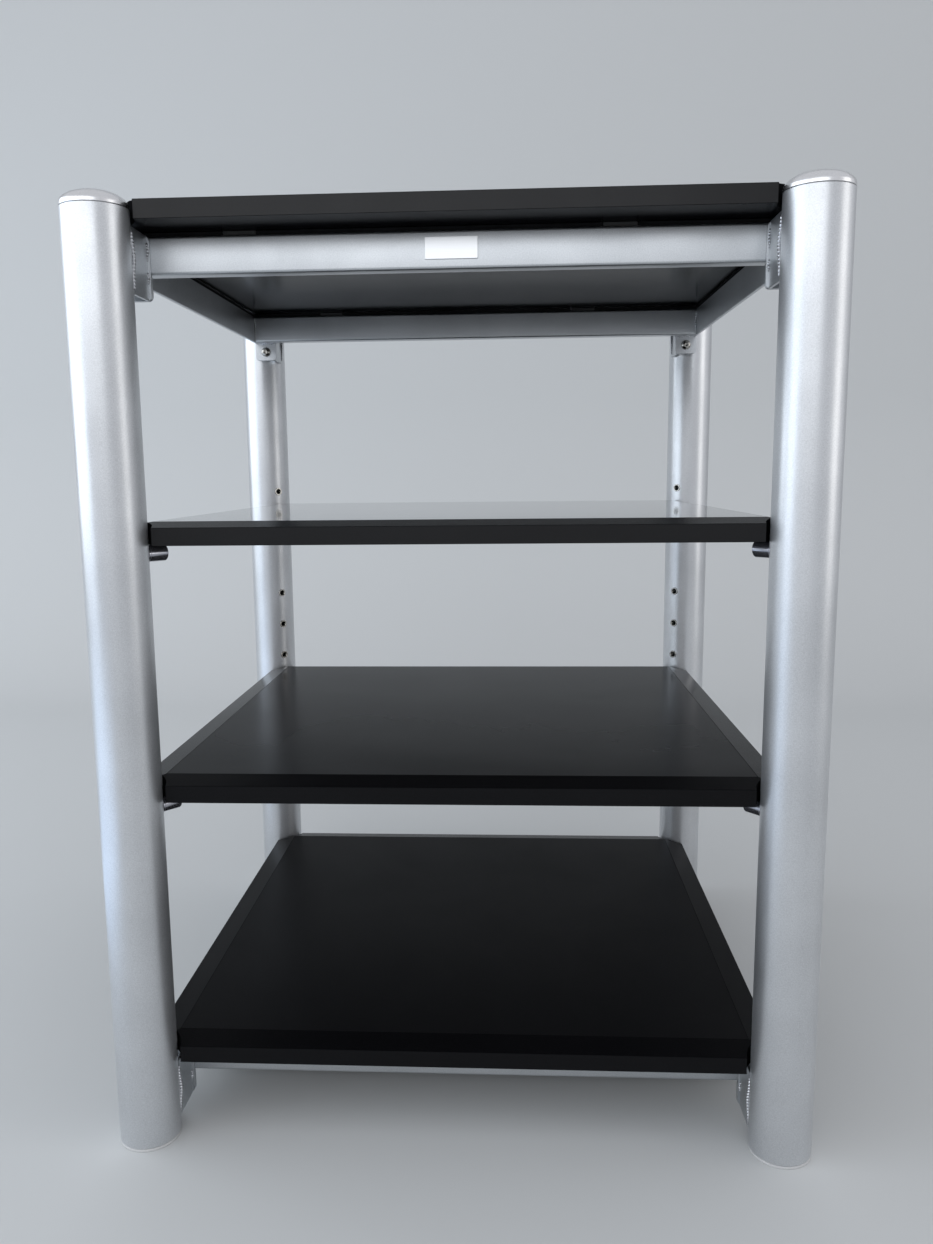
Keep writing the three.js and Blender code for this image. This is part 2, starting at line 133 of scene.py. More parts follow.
def close_effect(effect, result, outputs):
    """Connects what a node group puts out."""
    for label, socket in outputs.items():
        effect.links.new(socket, result[label])
    print("effect", effect.name, "with", len(effect.nodes), "nodes")


# %% Helpers for nodes
def feed(tree, given, socket):
    """Links a socket to an input, or types a plain value there."""
    if isinstance(given, bpy.types.NodeSocket):
        tree.links.new(given, socket)
    else:
        socket.default_value = given


def add_node(tree, kind, values=None, **properties):
    """A node with some of its inputs and properties set."""
    node = tree.nodes.new(kind)
    for name, value in properties.items():
        setattr(node, name, value)
    for label, value in (values or {}).items():
        feed(tree, value, node.inputs[label])
    return node


def own_place(tree):
    """The place on the piece, in metres."""
    return add_node(tree, "ShaderNodeTexCoord").outputs["Object"]


def noise(tree, place, scale, detail, roughness, **more):
    values = {"Vector": place, "Scale": scale, "Detail": detail, "Roughness": roughness, **more}
    return add_node(tree, "ShaderNodeTexNoise", values).outputs["Fac"]


def mapped(tree, value, low, high, to_low=0.0, to_high=1.0):
    """A value spread from one range to another, and clamped to it."""
    values = {"Value": value, "From Min": low, "From Max": high, "To Min": to_low, "To Max": to_high}
    return add_node(tree, "ShaderNodeMapRange", values).outputs[0]


def maths(tree, operation, *terms):
    node = add_node(tree, "ShaderNodeMath", dict(enumerate(terms)), operation=operation)
    return node.outputs[0]


def mixed_colour(tree, amount, first, second):
    """The colour between two others."""
    node = add_node(tree, "ShaderNodeMix", data_type="RGBA")
    sockets = {socket.identifier: socket for socket in node.inputs}
    feed(tree, amount, sockets["Factor_Float"])
    feed(tree, first, sockets["A_Color"])
    feed(tree, second, sockets["B_Color"])
    return {socket.identifier: socket for socket in node.outputs}["Result_Color"]


# %% [markdown]
# ### Metal flakes
# The silver paint is a powder with aluminium flakes. From a step away they read as a fine,
# slightly sparkling mottle. Two sizes of noise make it: a fine one for single flakes, and a broad
# one for the way powder settles thicker and thinner. The same fine noise is the height of the
# paint's grain, so colour and bump agree.

# %% Effect: metal flakes
FLAKE_SHARE = 0.7
CLOUD_SHARE = 0.3

flake_effect, given, result = new_effect(
    "metal_flakes",
    {
        "Light": (COLOUR, (0.8, 0.8, 0.8, 1)),
        "Dark": (COLOUR, (0.6, 0.6, 0.6, 1)),
        "Fineness": (VALUE, 900.0),
        "Cloudiness": (VALUE, 9.0),
    },
    {"Colour": COLOUR, "Height": VALUE},
)
place = own_place(flake_effect)
flakes = noise(flake_effect, place, given["Fineness"], 3.0, 0.65)
clouds = noise(flake_effect, place, given["Cloudiness"], 2.0, 0.5)
weaker = maths(flake_effect, "MULTIPLY", clouds, CLOUD_SHARE)
both = maths(flake_effect, "MULTIPLY_ADD", flakes, FLAKE_SHARE, weaker)
spread = mapped(flake_effect, both, 0.34, 0.66)
tone = mixed_colour(flake_effect, spread, given["Dark"], given["Light"])
close_effect(flake_effect, result, {"Colour": tone, "Height": flakes})

# %% [markdown]
# ### Uneven sheen
# Hands, cloths and the spray gun leave some patches of a finish duller than others. A slow noise
# moves the roughness between two values, so that a highlight changes a little along a piece.

# %% Effect: uneven sheen
sheen_effect, given, result = new_effect(
    "uneven_sheen",
    {"Smoothest": (VALUE, 0.3), "Roughest": (VALUE, 0.4), "Scale": (VALUE, 6.0)},
    {"Roughness": VALUE},
)
patches = noise(sheen_effect, own_place(sheen_effect), given["Scale"], 4.0, 0.55, Distortion=0.6)
spread = mapped(sheen_effect, patches, 0.3, 0.7, given["Smoothest"], given["Roughest"])
close_effect(sheen_effect, result, {"Roughness": spread})

# %% [markdown]
# ### Settled dust
# Black furniture shows dust first. The mask is the product of three things: how far the surface
# faces up, read from the normal, a speckle of tiny grains, and slow drifts.

# %% Effect: settled dust
dust_effect, given, result = new_effect(
    "settled_dust",
    {"Amount": (VALUE, 0.1), "Fineness": (VALUE, 500.0)},
    {"Mask": VALUE},
)
place = own_place(dust_effect)
normal = add_node(dust_effect, "ShaderNodeNewGeometry").outputs["Normal"]
split = add_node(dust_effect, "ShaderNodeSeparateXYZ", {0: normal})
upward = mapped(dust_effect, split.outputs["Z"], 0.5, 1.0)
grains = mapped(dust_effect, noise(dust_effect, place, given["Fineness"], 2.0, 0.7), 0.52, 0.75)
drifts = noise(dust_effect, place, 5.0, 3.0, 0.5)
piled = maths(dust_effect, "MULTIPLY", grains, drifts)
masked = maths(dust_effect, "MULTIPLY", piled, upward)
scaled = maths(dust_effect, "MULTIPLY", masked, given["Amount"])
close_effect(dust_effect, result, {"Mask": scaled})

# %% [markdown]
# ### Brushed lines
# The blank plate is brushed metal, with fine lines along it. A noise that is squeezed along one
# direction makes lines across it.

# %% Effect: brushed lines
brush_effect, given, result = new_effect(
    "brushed_lines",
    {"Along": (VALUE, 8.0), "Across": (VALUE, 900.0)},
    {"Mask": VALUE},
)
split = add_node(brush_effect, "ShaderNodeSeparateXYZ", {0: own_place(brush_effect)})
squeezed = add_node(
    brush_effect,
    "ShaderNodeCombineXYZ",
    {
        axis: maths(brush_effect, "MULTIPLY", split.outputs[axis], given[factor])
        for axis, factor in (("X", "Along"), ("Y", "Along"), ("Z", "Across"))
    },
)
lines = noise(brush_effect, squeezed.outputs[0], 1.0, 3.0, 0.7)
close_effect(brush_effect, result, {"Mask": lines})

# %% [markdown]
# ## Finishes
# Each finish is one Principled shader. What is the same all over the surface, such as how much of
# a metal it is, is typed on the shader. What changes over the surface comes from the effects.
# Nearly all finishes are flecked: their colour wanders between a light and a dark tone, their
# sheen is uneven, and the flecks stand out by a small part of a millimetre.

# %% Helpers for finishes
FINISHES = {}


def set_shader(tree, shader, values):
    """Types values on a shader's inputs, or links sockets to them."""
    for label, value in values.items():
        feed(tree, value, shader.inputs[label])


def new_finish(name, values):
    """A material with a Principled shader, kept under its name."""
    material = bpy.data.materials.new(name)
    material.use_nodes = True
    FINISHES[name] = material
    tree = material.node_tree
    shader = tree.nodes["Principled BSDF"]
    set_shader(tree, shader, values)
    return tree, shader


def place_effect(tree, effect, values):
    return add_node(tree, "ShaderNodeGroup", values, node_tree=effect).outputs


def bumps(tree, height, distance, strength):
    """A normal with bumps of a real height, in metres."""
    values = {"Strength": strength, "Distance": distance, "Height": height}
    return add_node(tree, "ShaderNodeBump", values).outputs[0]


# %% Helper for flecked finishes
def flecked_finish(name, values, colours, grain, sheen, relief):
    """A finish with flecks between two colours.

    The grain is the fineness and cloudiness of the flecks. The sheen is the smoothest and the
    roughest value and the scale of the patches. The relief is a height and a strength.
    """
    tree, shader = new_finish(name, values)
    tones = {label: (*colour, 1) for label, colour in zip(("Light", "Dark"), colours)}
    flecks = place_effect(tree, flake_effect, {**tones, **dict(zip(("Fineness", "Cloudiness"), grain))})
    patches = place_effect(tree, sheen_effect, dict(zip(("Smoothest", "Roughest", "Scale"), sheen)))
    inputs = {
        "Base Color": flecks["Colour"],
        "Roughness": patches["Roughness"],
        "Normal": bumps(tree, flecks["Height"], *relief),
    }
    set_shader(tree, shader, inputs)
    print("finish", name)
    return tree, shader, flecks, patches


# %% [markdown]
# ### Silver powder coat
# Posts, rails, bars and brackets share one paint. It is mostly metallic, because that is what the
# flakes do to light: the sides of the frame that look at the dark boards turn nearly black, and
# the ones that look at a window turn white. Plain grey paint could not do that. On the frames the
# paint is made a little darker than on the posts, as painted shade for the shade on the frames,
# and on the weld beads it runs thin and glints.

# %% Finishes: silver powder coat on posts, frames and welds
SILVER_PAINTS = {
    "silver_paint": (0.88, (0.32, 0.40), (0.70, 0.715, 0.735), (0.55, 0.562, 0.578)),
    # the frame copy's darker tones are painted shade for the shade on the frames
    "silver_paint_frame": (0.97, (0.35, 0.43), (0.60, 0.62, 0.64), (0.47, 0.49, 0.51)),
    "silver_paint_weld": (0.88, (0.2, 0.3), (0.68, 0.69, 0.71), (0.40, 0.41, 0.43)),
}

for name, (metallic, roughness, light, dark) in SILVER_PAINTS.items():
    flecked_finish(
        name,
        {"Metallic": metallic, "Coat Weight": 0.12, "Coat Roughness": 0.22},
        colours=(light, dark),
        grain=(850.0, 14.0),
        sheen=(*roughness, 9.0),
        relief=(0.02 * MM, 0.5),
    )

# %% [markdown]
# ### Black lacquer
# The boards are fibreboard under black lacquer. It is satin, not matt: seen from above it is
# nearly black, and seen flat along the surface it mirrors what stands behind it. The shader's own
# reflection is made weak, and a clear coat comes in only at a flat view, by the Facing value of a
# Layer Weight node. A soft orange-peel bump breaks up the mirror, and a little dust lies on the
# upper faces.

# %% Finish: black lacquer
tree, shader, flecks, patches = flecked_finish(
    "black_lacquer",
    {"Metallic": 0.0, "IOR": 1.5, "Specular IOR Level": 0.04, "Coat Roughness": 0.08},
    colours=((0.004, 0.004, 0.0048), (0.002, 0.002, 0.0025)),
    grain=(600.0, 7.0),
    sheen=(0.37, 0.45, 5.0),
    relief=(0.006 * MM, 0.3),
)
dust = place_effect(tree, dust_effect, {"Amount": 0.02, "Fineness": 700.0})
dusted = mixed_colour(tree, dust["Mask"], flecks["Colour"], (0.35, 0.34, 0.32, 1))
facing = add_node(tree, "ShaderNodeLayerWeight").outputs["Facing"]
flat_view = mapped(tree, facing, 0.6, 0.95, 1.0, 0.2)
inputs = {
    "Base Color": dusted,
    "Roughness": maths(tree, "MULTIPLY", flat_view, patches["Roughness"]),
    "Coat Weight": mapped(tree, facing, 0.82, 0.96, 0.0, 0.6),
}
set_shader(tree, shader, inputs)

# %% [markdown]
# The upright edges of a board take more coats than its faces, so they come out glossier, and they
# mirror the light in front. The walls of the notches round the posts only have a dull primer,
# and it shows as a thin dark line along each arris, where the lacquer pulls back. Both have a
# finish of their own. The edges of the two lower boards look down at the pale
# floor, so theirs is a little duller, or they would turn grey.

# %% Finishes: glossier lacquer of the edges
EDGE_GLOSSES = {"black_lacquer_edge": 0.26, "black_lacquer_low_edge": 0.12}

for name, gloss in EDGE_GLOSSES.items():
    flecked_finish(
        name,
        {"Metallic": 0.0, "IOR": 1.5, "Specular IOR Level": gloss},
        colours=((0.005, 0.005, 0.006), (0.0025, 0.0025, 0.003)),
        grain=(600.0, 7.0),
        sheen=(0.3, 0.38, 7.0),
        relief=(0.006 * MM, 0.3),
    )

# %% Finish: dull primer in the notches
flecked_finish(
    "black_primer",
    {"Metallic": 0.0, "IOR": 1.4, "Specular IOR Level": 0.02},
    colours=((0.007, 0.007, 0.008), (0.003, 0.003, 0.003)),
    grain=(1100.0, 30.0),
    sheen=(0.85, 0.95, 40.0),
    relief=(0.03 * MM, 0.5),
)

# %% [markdown]
# ### Caps, pegs, bolts, inserts and plate
# The small metal parts differ in how bright and how polished they are. The caps are satin
# aluminium, the pegs a dark polished metal with one sharp highlight along them, the bolts and the
# inserts are plated, and the plate is brushed.

# %% Finish: satin aluminium of the caps
flecked_finish(
    "cap_metal",
    {"Metallic": 1.0},
    colours=((0.78, 0.78, 0.79), (0.68, 0.68, 0.69)),
    grain=(700.0, 30.0),
    sheen=(0.24, 0.31, 20.0),
    relief=(0.01 * MM, 0.3),
)

# %% Finish: dark metal of the pegs
flecked_finish(
    "peg_metal",
    {"Metallic": 0.9, "Coat Weight": 0.4, "Coat Roughness": 0.12},
    colours=((0.50, 0.50, 0.54), (0.40, 0.40, 0.44)),
    grain=(900.0, 60.0),
    sheen=(0.13, 0.19, 60.0),
    relief=(0.005 * MM, 0.3),
)

# %% Finish: plated steel of the bolts and inserts
flecked_finish(
    "bolt_steel",
    {"Metallic": 1.0},
    colours=((0.46, 0.45, 0.42), (0.30, 0.29, 0.27)),
    grain=(1400.0, 200.0),
    sheen=(0.14, 0.26, 150.0),
    relief=(0.01 * MM, 0.3),
)

# %% Finish: brushed aluminium of the blank plate
tree, shader = new_finish("plate_aluminium", {"Metallic": 1.0})
lines = place_effect(tree, brush_effect, {"Along": 25.0, "Across": 2600.0})
inputs = {
    "Base Color": mixed_colour(tree, lines["Mask"], (0.62, 0.63, 0.645, 1), (0.79, 0.80, 0.81, 1)),
    "Roughness": mapped(tree, lines["Mask"], 0.0, 1.0, 0.3, 0.42),
    "Normal": bumps(tree, lines["Mask"], 0.02 * MM, 0.5),
}
set_shader(tree, shader, inputs)
print("finish plate_aluminium")

# %% [markdown]
# ### Plastic feet, rubber pads and shade strips
# All three are matt. The feet and the pads are moulded. The feet are pale grey with a faint mottle.
# The pads are black and take up dust. The strips are painted shade: black, full of pores, in the dark gaps
# over the frames.

# %% Finish: grey plastic of the feet
flecked_finish(
    "foot_plastic",
    {"Metallic": 0.0, "IOR": 1.5},
    colours=((0.62, 0.62, 0.62), (0.52, 0.52, 0.52)),
    grain=(500.0, 40.0),
    sheen=(0.42, 0.55, 30.0),
    relief=(0.03 * MM, 0.4),
)

# %% Finish: black rubber of the pads
tree, shader, flecks, patches = flecked_finish(
    "pad_rubber",
    {"Metallic": 0.0, "IOR": 1.5},
    colours=((0.026, 0.026, 0.026), (0.014, 0.014, 0.014)),
    grain=(900.0, 60.0),
    sheen=(0.65, 0.8, 60.0),
    relief=(0.08 * MM, 0.5),
)
dust = place_effect(tree, dust_effect, {"Amount": 0.1, "Fineness": 900.0})
dusted = mixed_colour(tree, dust["Mask"], flecks["Colour"], (0.4, 0.39, 0.37, 1))
set_shader(tree, shader, {"Base Color": dusted})

# %% Finish: black strips, painted shade in the gaps
flecked_finish(
    "pad_foam",
    {"Metallic": 0.0, "IOR": 1.4, "Specular IOR Level": 0.1},
    colours=((0.012, 0.012, 0.013), (0.003, 0.003, 0.003)),
    grain=(1500.0, 80.0),
    sheen=(0.85, 0.95, 90.0),
    relief=(0.3 * MM, 0.8),
)

# %% [markdown]
# ## Shapes
# The rack has few kinds of shape: turned pieces, flat outlines made thick, and weld beads. Each
# kind has one helper that works on a bmesh, Blender's editable mesh. The corners of the rack are
# mirror images, so each piece is drawn once, for the rear right corner, where X and Y are both
# positive, and then mirrored.

# %% Helpers for turned shapes
SHARP_ANGLE = math.radians(32)
CORNERS = {
    "front_left": (-1, -1),
    "front_right": (1, -1),
    "rear_left": (-1, 1),
    "rear_right": (1, 1),
}


def join_rings(shape, first, second):
    """Faces between two rings of points. A ring of one point gives a fan of triangles."""
    steps = max(len(first), len(second))
    for step in range(steps):
        after = step + 1
        around = [
            first[step % len(first)],
            first[after % len(first)],
            second[after % len(second)],
            second[step % len(second)],
        ]
        shape.faces.new(list(dict.fromkeys(around)))


def turned(profile, steps, closed=False):
    """A shape turned about Z from pairs of radius and height, as on a lathe."""
    shape = bmesh.new()
    rings = []
    for radius, height in profile:
        count = steps if radius > 0 else 1
        turns = [math.tau * step / steps for step in range(count)]
        rings.append([shape.verts.new((radius * math.cos(t), radius * math.sin(t), height)) for t in turns])
    for first, second in zip(rings, rings[1:]):
        join_rings(shape, first, second)
    if closed:
        join_rings(shape, rings[-1], rings[0])
    return shape


def rod(radius, low, high, steps):
    """A plain cylinder about Z, between two heights."""
    return turned([(0, low), (radius, low), (radius, high), (0, high)], steps)


def arc(middle, radius, start, end, steps):
    """Points on an arc, as pairs, from one angle in degrees to another."""
    angles = [math.radians(start + (end - start) * step / steps) for step in range(steps + 1)]
    return [(middle[0] + radius * math.cos(a), middle[1] + radius * math.sin(a)) for a in angles]


# %% Helpers for flat outlines
def rounded_rectangle(low, high, radius, steps=6):
    """The outline of a rectangle with round corners, as pairs."""
    left, right = low[0] + radius, high[0] - radius
    front, back = low[1] + radius, high[1] - radius
    middles = ((left, front), (right, front), (right, back), (left, back))
    outline = []
    for middle, start in zip(middles, (180, 270, 0, 90)):
        outline += arc(middle, radius, start, start + 90, steps)
    return outline


def thick_outline(outline, low, high, hollow=None):
    """An outline in X and Y made thick along Z. A hollow outline of as many points makes a tube."""
    shape = bmesh.new()
    bottom = [shape.verts.new((x, y, low)) for x, y in outline]
    top = [shape.verts.new((x, y, high)) for x, y in outline]
    join_rings(shape, bottom, top)
    if hollow is None:
        shape.faces.new(bottom)
        shape.faces.new(top)
        return shape
    inner_bottom = [shape.verts.new((x, y, low)) for x, y in hollow]
    inner_top = [shape.verts.new((x, y, high)) for x, y in hollow]
    join_rings(shape, inner_top, inner_bottom)
    join_rings(shape, bottom, inner_bottom)
    join_rings(shape, top, inner_top)
    return shape


Z_TO_X = Matrix(((0, 0, 1, 0), (1, 0, 0, 0), (0, 1, 0, 0), (0, 0, 0, 1)))
Z_TO_Y = Matrix(((1, 0, 0, 0), (0, 0, 1, 0), (0, 1, 0, 0), (0, 0, 0, 1)))


def moved(shape, matrix):
    bmesh.ops.transform(shape, matrix=matrix, verts=shape.verts)
    return shape


def upright_plate(low, high, radius, front, back, steps=6):
    """A plate with round corners, from corners in X and Z, between two values of Y."""
    outline = rounded_rectangle(low, high, radius, steps)
    return moved(thick_outline(outline, front, back), Z_TO_Y)


def joined(shapes):
    """Several shapes as one mesh, each still closed by itself."""
    whole = bmesh.new()
    for shape in shapes:
        part = bpy.data.meshes.new("part")
        shape.to_mesh(part)
        shape.free()
        whole.from_mesh(part)
        bpy.data.meshes.remove(part)
    return whole


# %% Helpers for objects
BEVEL_STEPS = 3


def new_object(name, shape):
    """An object in the scene that takes over a shape."""
    mesh = bpy.data.meshes.new(name)
    shape.to_mesh(mesh)
    shape.free()
    item = bpy.data.objects.new(name, mesh)
    bpy.context.collection.objects.link(item)
    return item


def soften(piece, width, steps=BEVEL_STEPS, angle=SHARP_ANGLE):
    """Rounds the edges that are sharper than an angle, with a Bevel modifier."""
    modifier = piece.modifiers.new("soft edges", "BEVEL")
    modifier.width = width
    modifier.segments = steps
    modifier.limit_method = "ANGLE"
    modifier.angle_limit = angle
    modifier.harden_normals = True
    return modifier


def cut_away(shape, tools):
    """The shape less each tool, by a Boolean modifier on passing objects."""
    tool_shape = joined(tools)
    for side in (shape, tool_shape):
        bmesh.ops.recalc_face_normals(side, faces=side.faces)
    whole = new_object("whole", shape)
    tool = new_object("tool", tool_shape)
    modifier = whole.modifiers.new("cut", "BOOLEAN")
    modifier.operation = "DIFFERENCE"
    modifier.solver = "EXACT"
    modifier.object = tool
    depsgraph = bpy.context.evaluated_depsgraph_get()
    result = bmesh.new()
    result.from_mesh(whole.evaluated_get(depsgraph).data)
    for passing in (whole, tool):
        bpy.data.objects.remove(passing)
    bmesh.ops.remove_doubles(result, verts=result.verts, dist=0.001 * MM)
    return result


# %% [markdown]
# A finished piece needs four more things. Its faces must point out. Its round faces are shaded
# smooth, and its corners stay sharp. It has to move with the right body of the rack. And where it
# stands for a piece of the bare model, that piece is hidden. Square plates get a Bevel modifier as
# well, because no real edge is perfectly sharp, and it is the bevel that catches the light.


# %% Helpers that finish a piece
def finished(name, shape, finish, body="rack", stands_for=(), bevel=0.0):
    bmesh.ops.recalc_face_normals(shape, faces=shape.faces)
    for face in shape.faces:
        face.smooth = True
    for edge in shape.edges:
        edge.smooth = bevel > 0 or edge.calc_face_angle(0) < SHARP_ANGLE
    piece = new_object(name, shape)
    piece.data.materials.append(FINISHES[finish])
    if bevel > 0:
        soften(piece, bevel)
    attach(piece, body)
    if stands_for:
        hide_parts(*stands_for)
    return piece


def in_corner(shape, signs):
    """A mirrored copy of a shape that was drawn for the rear right corner."""
    copy = shape.copy()
    bmesh.ops.scale(copy, vec=(signs[0], signs[1], 1), verts=copy.verts)
    return copy


def in_each_corner(name, shape, finish, body="rack", node=None, bevel=0.0):
    """A finished copy of the shape in every corner. The star in a name stands for the corner."""
    for corner, signs in CORNERS.items():
        copy = in_corner(shape, signs)
        nodes = [node.replace("*", corner)] if node else ()
        finished(name.replace("*", corner), copy, finish, body.replace("*", corner), nodes, bevel)
    shape.free()


# %% [markdown]
# ## Posts
# A post is a steel tube, 63.5 mm across, with a row of drilled holes on the side that faces the
# middle of the rack. The tube is turned as a closed profile: up the outside, in over a small
# chamfer, and down the bore. Rings are closer together near the holes, so that the drilled edge
# lies on small faces and the shading of the tube stays clean.

# %% Sizes of the posts
low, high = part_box("post_rear_right")
POST_PLACE = (low + high) / 2
POST_RADIUS = (high.x - low.x) / 2
POST_LOW = low.z
POST_HIGH = high.z
POST_WALL = 2 * MM
POST_CHAMFER = 0.5 * MM
POST_STEPS = 128
TO_POST = Matrix.Translation((POST_PLACE.x, POST_PLACE.y, 0))
HOLE_TURN = math.radians(40)
HOLE_PITCH = 50.8 * MM
HOLE_RADIUS = 4.3 * MM
HOLE_STEPS = 40
HOLES_ABOVE_PEG = {"lower_peg_rear_right": 3, "upper_peg_rear_right": 1}
RINGS_NEAR_HOLE = [-8 * MM, -5 * MM, -2.5 * MM, 2.5 * MM, 5 * MM, 8 * MM]
DRILL_OVERRUN = 3 * MM


def peg_height(node):
    low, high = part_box(node)
    return (low.z + high.z) / 2


PEG_HOLES = [peg_height(node) for node in HOLES_ABOVE_PEG]
FREE_HOLES = [
    peg_height(node) + HOLE_PITCH * step
    for node, count in HOLES_ABOVE_PEG.items()
    for step in range(1, count + 1)
]
print("post radius", round(POST_RADIUS, 4), "free holes at", [round(h, 4) for h in FREE_HOLES])


# %% Drill and build the posts
def at_hole(shape, height):
    """Points a shape that stands on Z at the middle of the rack, with its zero on the post."""
    inward = Vector((-math.sin(HOLE_TURN), -math.cos(HOLE_TURN), 0))
    turn = Vector((0, 0, 1)).rotation_difference(inward).to_matrix().to_4x4()
    foot = Vector((POST_PLACE.x, POST_PLACE.y, height)) + inward * POST_RADIUS
    return moved(shape, Matrix.Translation(foot) @ turn)


def post_shape():
    outer = POST_RADIUS
    inner = POST_RADIUS - POST_WALL
    heights = sorted(height + step for height in PEG_HOLES + FREE_HOLES for step in RINGS_NEAR_HOLE)
    profile = [(inner, POST_LOW), (outer - POST_CHAMFER, POST_LOW), (outer, POST_LOW + POST_CHAMFER)]
    profile += [(outer, height) for height in heights]
    profile += [(outer, POST_HIGH - POST_CHAMFER), (outer - POST_CHAMFER, POST_HIGH), (inner, POST_HIGH)]
    profile += [(inner, height) for height in reversed(heights)]
    return moved(turned(profile, POST_STEPS, closed=True), TO_POST)


def drill_shape(height):
    depth = POST_WALL + DRILL_OVERRUN
    return at_hole(rod(HOLE_RADIUS, -depth, depth, HOLE_STEPS), height)


post = cut_away(post_shape(), [drill_shape(height) for height in PEG_HOLES + FREE_HOLES])
print("post faces", len(post.faces))
in_each_corner("*_post", post, "silver_paint", node="post_*")

# %% [markdown]
# ### Inserts in the free holes
# Each hole holds a threaded insert, whose thin flange shows as a bright ring round the dark hole.
# The insert is turned as a small collar and set into the hole.

# %% Inserts
FLANGE_RADIUS = 5.8 * MM
FLANGE_SUNK = 0.45 * MM
FLANGE_PROUD = 0.5 * MM
FLANGE_EDGE = 0.3 * MM
SLEEVE_RADIUS = 4.25 * MM
SLEEVE_DEPTH = 7 * MM
SLEEVE_MOUTH = 0.5 * MM
THREAD_RADIUS = 3.7 * MM
THREAD_DEPTH = 0.35 * MM
THREAD_PITCH = 1.25 * MM


def insert_shape():
    """A collar whose bore is ringed as a thread is."""
    profile = [(THREAD_RADIUS, -SLEEVE_DEPTH), (SLEEVE_RADIUS, -SLEEVE_DEPTH)]
    profile += [(SLEEVE_RADIUS, -FLANGE_SUNK), (FLANGE_RADIUS, -FLANGE_SUNK)]
    profile += [(FLANGE_RADIUS, FLANGE_PROUD / 2), (FLANGE_RADIUS - FLANGE_EDGE, FLANGE_PROUD)]
    profile += [(THREAD_RADIUS + SLEEVE_MOUTH, FLANGE_PROUD)]
    for turn in range(int(SLEEVE_DEPTH / THREAD_PITCH)):
        depth = -THREAD_PITCH * turn
        profile += [(THREAD_RADIUS, depth), (THREAD_RADIUS + THREAD_DEPTH, depth - THREAD_PITCH / 2)]
    return turned(profile, HOLE_STEPS, closed=True)


collars = joined([at_hole(insert_shape(), height) for height in FREE_HOLES])
in_each_corner("*_hole_inserts", collars, "bolt_steel")
print("inserts", len(CORNERS) * len(FREE_HOLES))

# %% [markdown]
# ## Caps and feet
# A cap is a low dome with a short straight rim, pressed into the tube by a plug that nobody sees.
# The dome is a quarter of an ellipse. A foot is a thin plastic disc with a soft edge.

# %% Caps
low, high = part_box("cap_rear_right")
CAP_LOW = low.z
CAP_TOP = high.z
SEAM = 0.3 * MM
CAP_RIM = 2.5 * MM
CAP_CHAMFER = 0.4 * MM
CAP_STEPS = 28
PLUG_RADIUS = POST_RADIUS - POST_WALL - SEAM
PLUG_CHAMFER = 1 * MM


def cap_shape():
    seat = POST_HIGH + SEAM
    dome = seat + CAP_RIM
    profile = [(0, CAP_LOW), (PLUG_RADIUS - PLUG_CHAMFER, CAP_LOW)]
    profile += [(PLUG_RADIUS, CAP_LOW + PLUG_CHAMFER), (PLUG_RADIUS, seat)]
    profile += [(POST_RADIUS - CAP_CHAMFER, seat), (POST_RADIUS, seat + CAP_CHAMFER)]
    for step in range(CAP_STEPS + 1):
        angle = math.pi / 2 * step / CAP_STEPS
        radius = POST_RADIUS * math.cos(angle) if step < CAP_STEPS else 0
        profile.append((radius, dome + (CAP_TOP - dome) * math.sin(angle)))
    return moved(turned(profile, POST_STEPS), TO_POST)


in_each_corner("*_cap", cap_shape(), "cap_metal", node="cap_*")
print("cap top at", round(CAP_TOP, 4))

# %% Feet
FOOT_TOP = POST_LOW - SEAM
FOOT_PLUG_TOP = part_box("foot_rear_right")[1].z
FOOT_EDGE = 0.8 * MM
FOOT_EDGE_STEPS = 5


def foot_shape():
    profile = [(0, 0), (POST_RADIUS - FOOT_EDGE, 0)]
    profile += arc((POST_RADIUS - FOOT_EDGE, FOOT_EDGE), FOOT_EDGE, -90, 0, FOOT_EDGE_STEPS)
    upper = FOOT_TOP - FOOT_EDGE
    profile += arc((POST_RADIUS - FOOT_EDGE, upper), FOOT_EDGE, 0, 90, FOOT_EDGE_STEPS)
    profile += [(PLUG_RADIUS, FOOT_TOP), (PLUG_RADIUS, FOOT_PLUG_TOP), (0, FOOT_PLUG_TOP)]
    return moved(turned(profile, POST_STEPS), TO_POST)


in_each_corner("*_foot", foot_shape(), "foot_plastic", node="foot_*")
print("foot", round(FOOT_TOP / MM, 2), "mm thick")

# %% [markdown]
# ## Boards
# All four boards are alike: fibreboard, 18 mm at the edge, with a shallow slope all round that
# rises 5 mm to the flat top. The outline is a rectangle, drawn three times: at the underside, at
# the top of the edge, and drawn in at the top of the slope. Each corner is hollowed out by a round
# notch with upright walls, so that the board passes the post, and the slope simply ends there.
# The lacquer rounds every edge a little, which the Bevel modifier does, and the modifier also
# gives those narrow faces the primer's finish.

# %% Board shapes
BOARD_EDGE = 18 * MM
BOARD_SLOPE_RUN = 27 * MM
BOARD_NOTCH_RADIUS = POST_RADIUS + 3.75 * MM
BOARD_NOTCH_OVERRUN = 4 * MM


def notch_shapes(low_z, high_z):
    """Four upright cylinders round the posts, taller than a board."""
    bottom = low_z - BOARD_NOTCH_OVERRUN
    top = high_z + BOARD_NOTCH_OVERRUN
    shapes = []
    for sign_x, sign_y in CORNERS.values():
        place = Matrix.Translation((POST_PLACE.x * sign_x, POST_PLACE.y * sign_y, 0))
        shapes.append(moved(rod(BOARD_NOTCH_RADIUS, bottom, top, POST_STEPS), place))
    return shapes


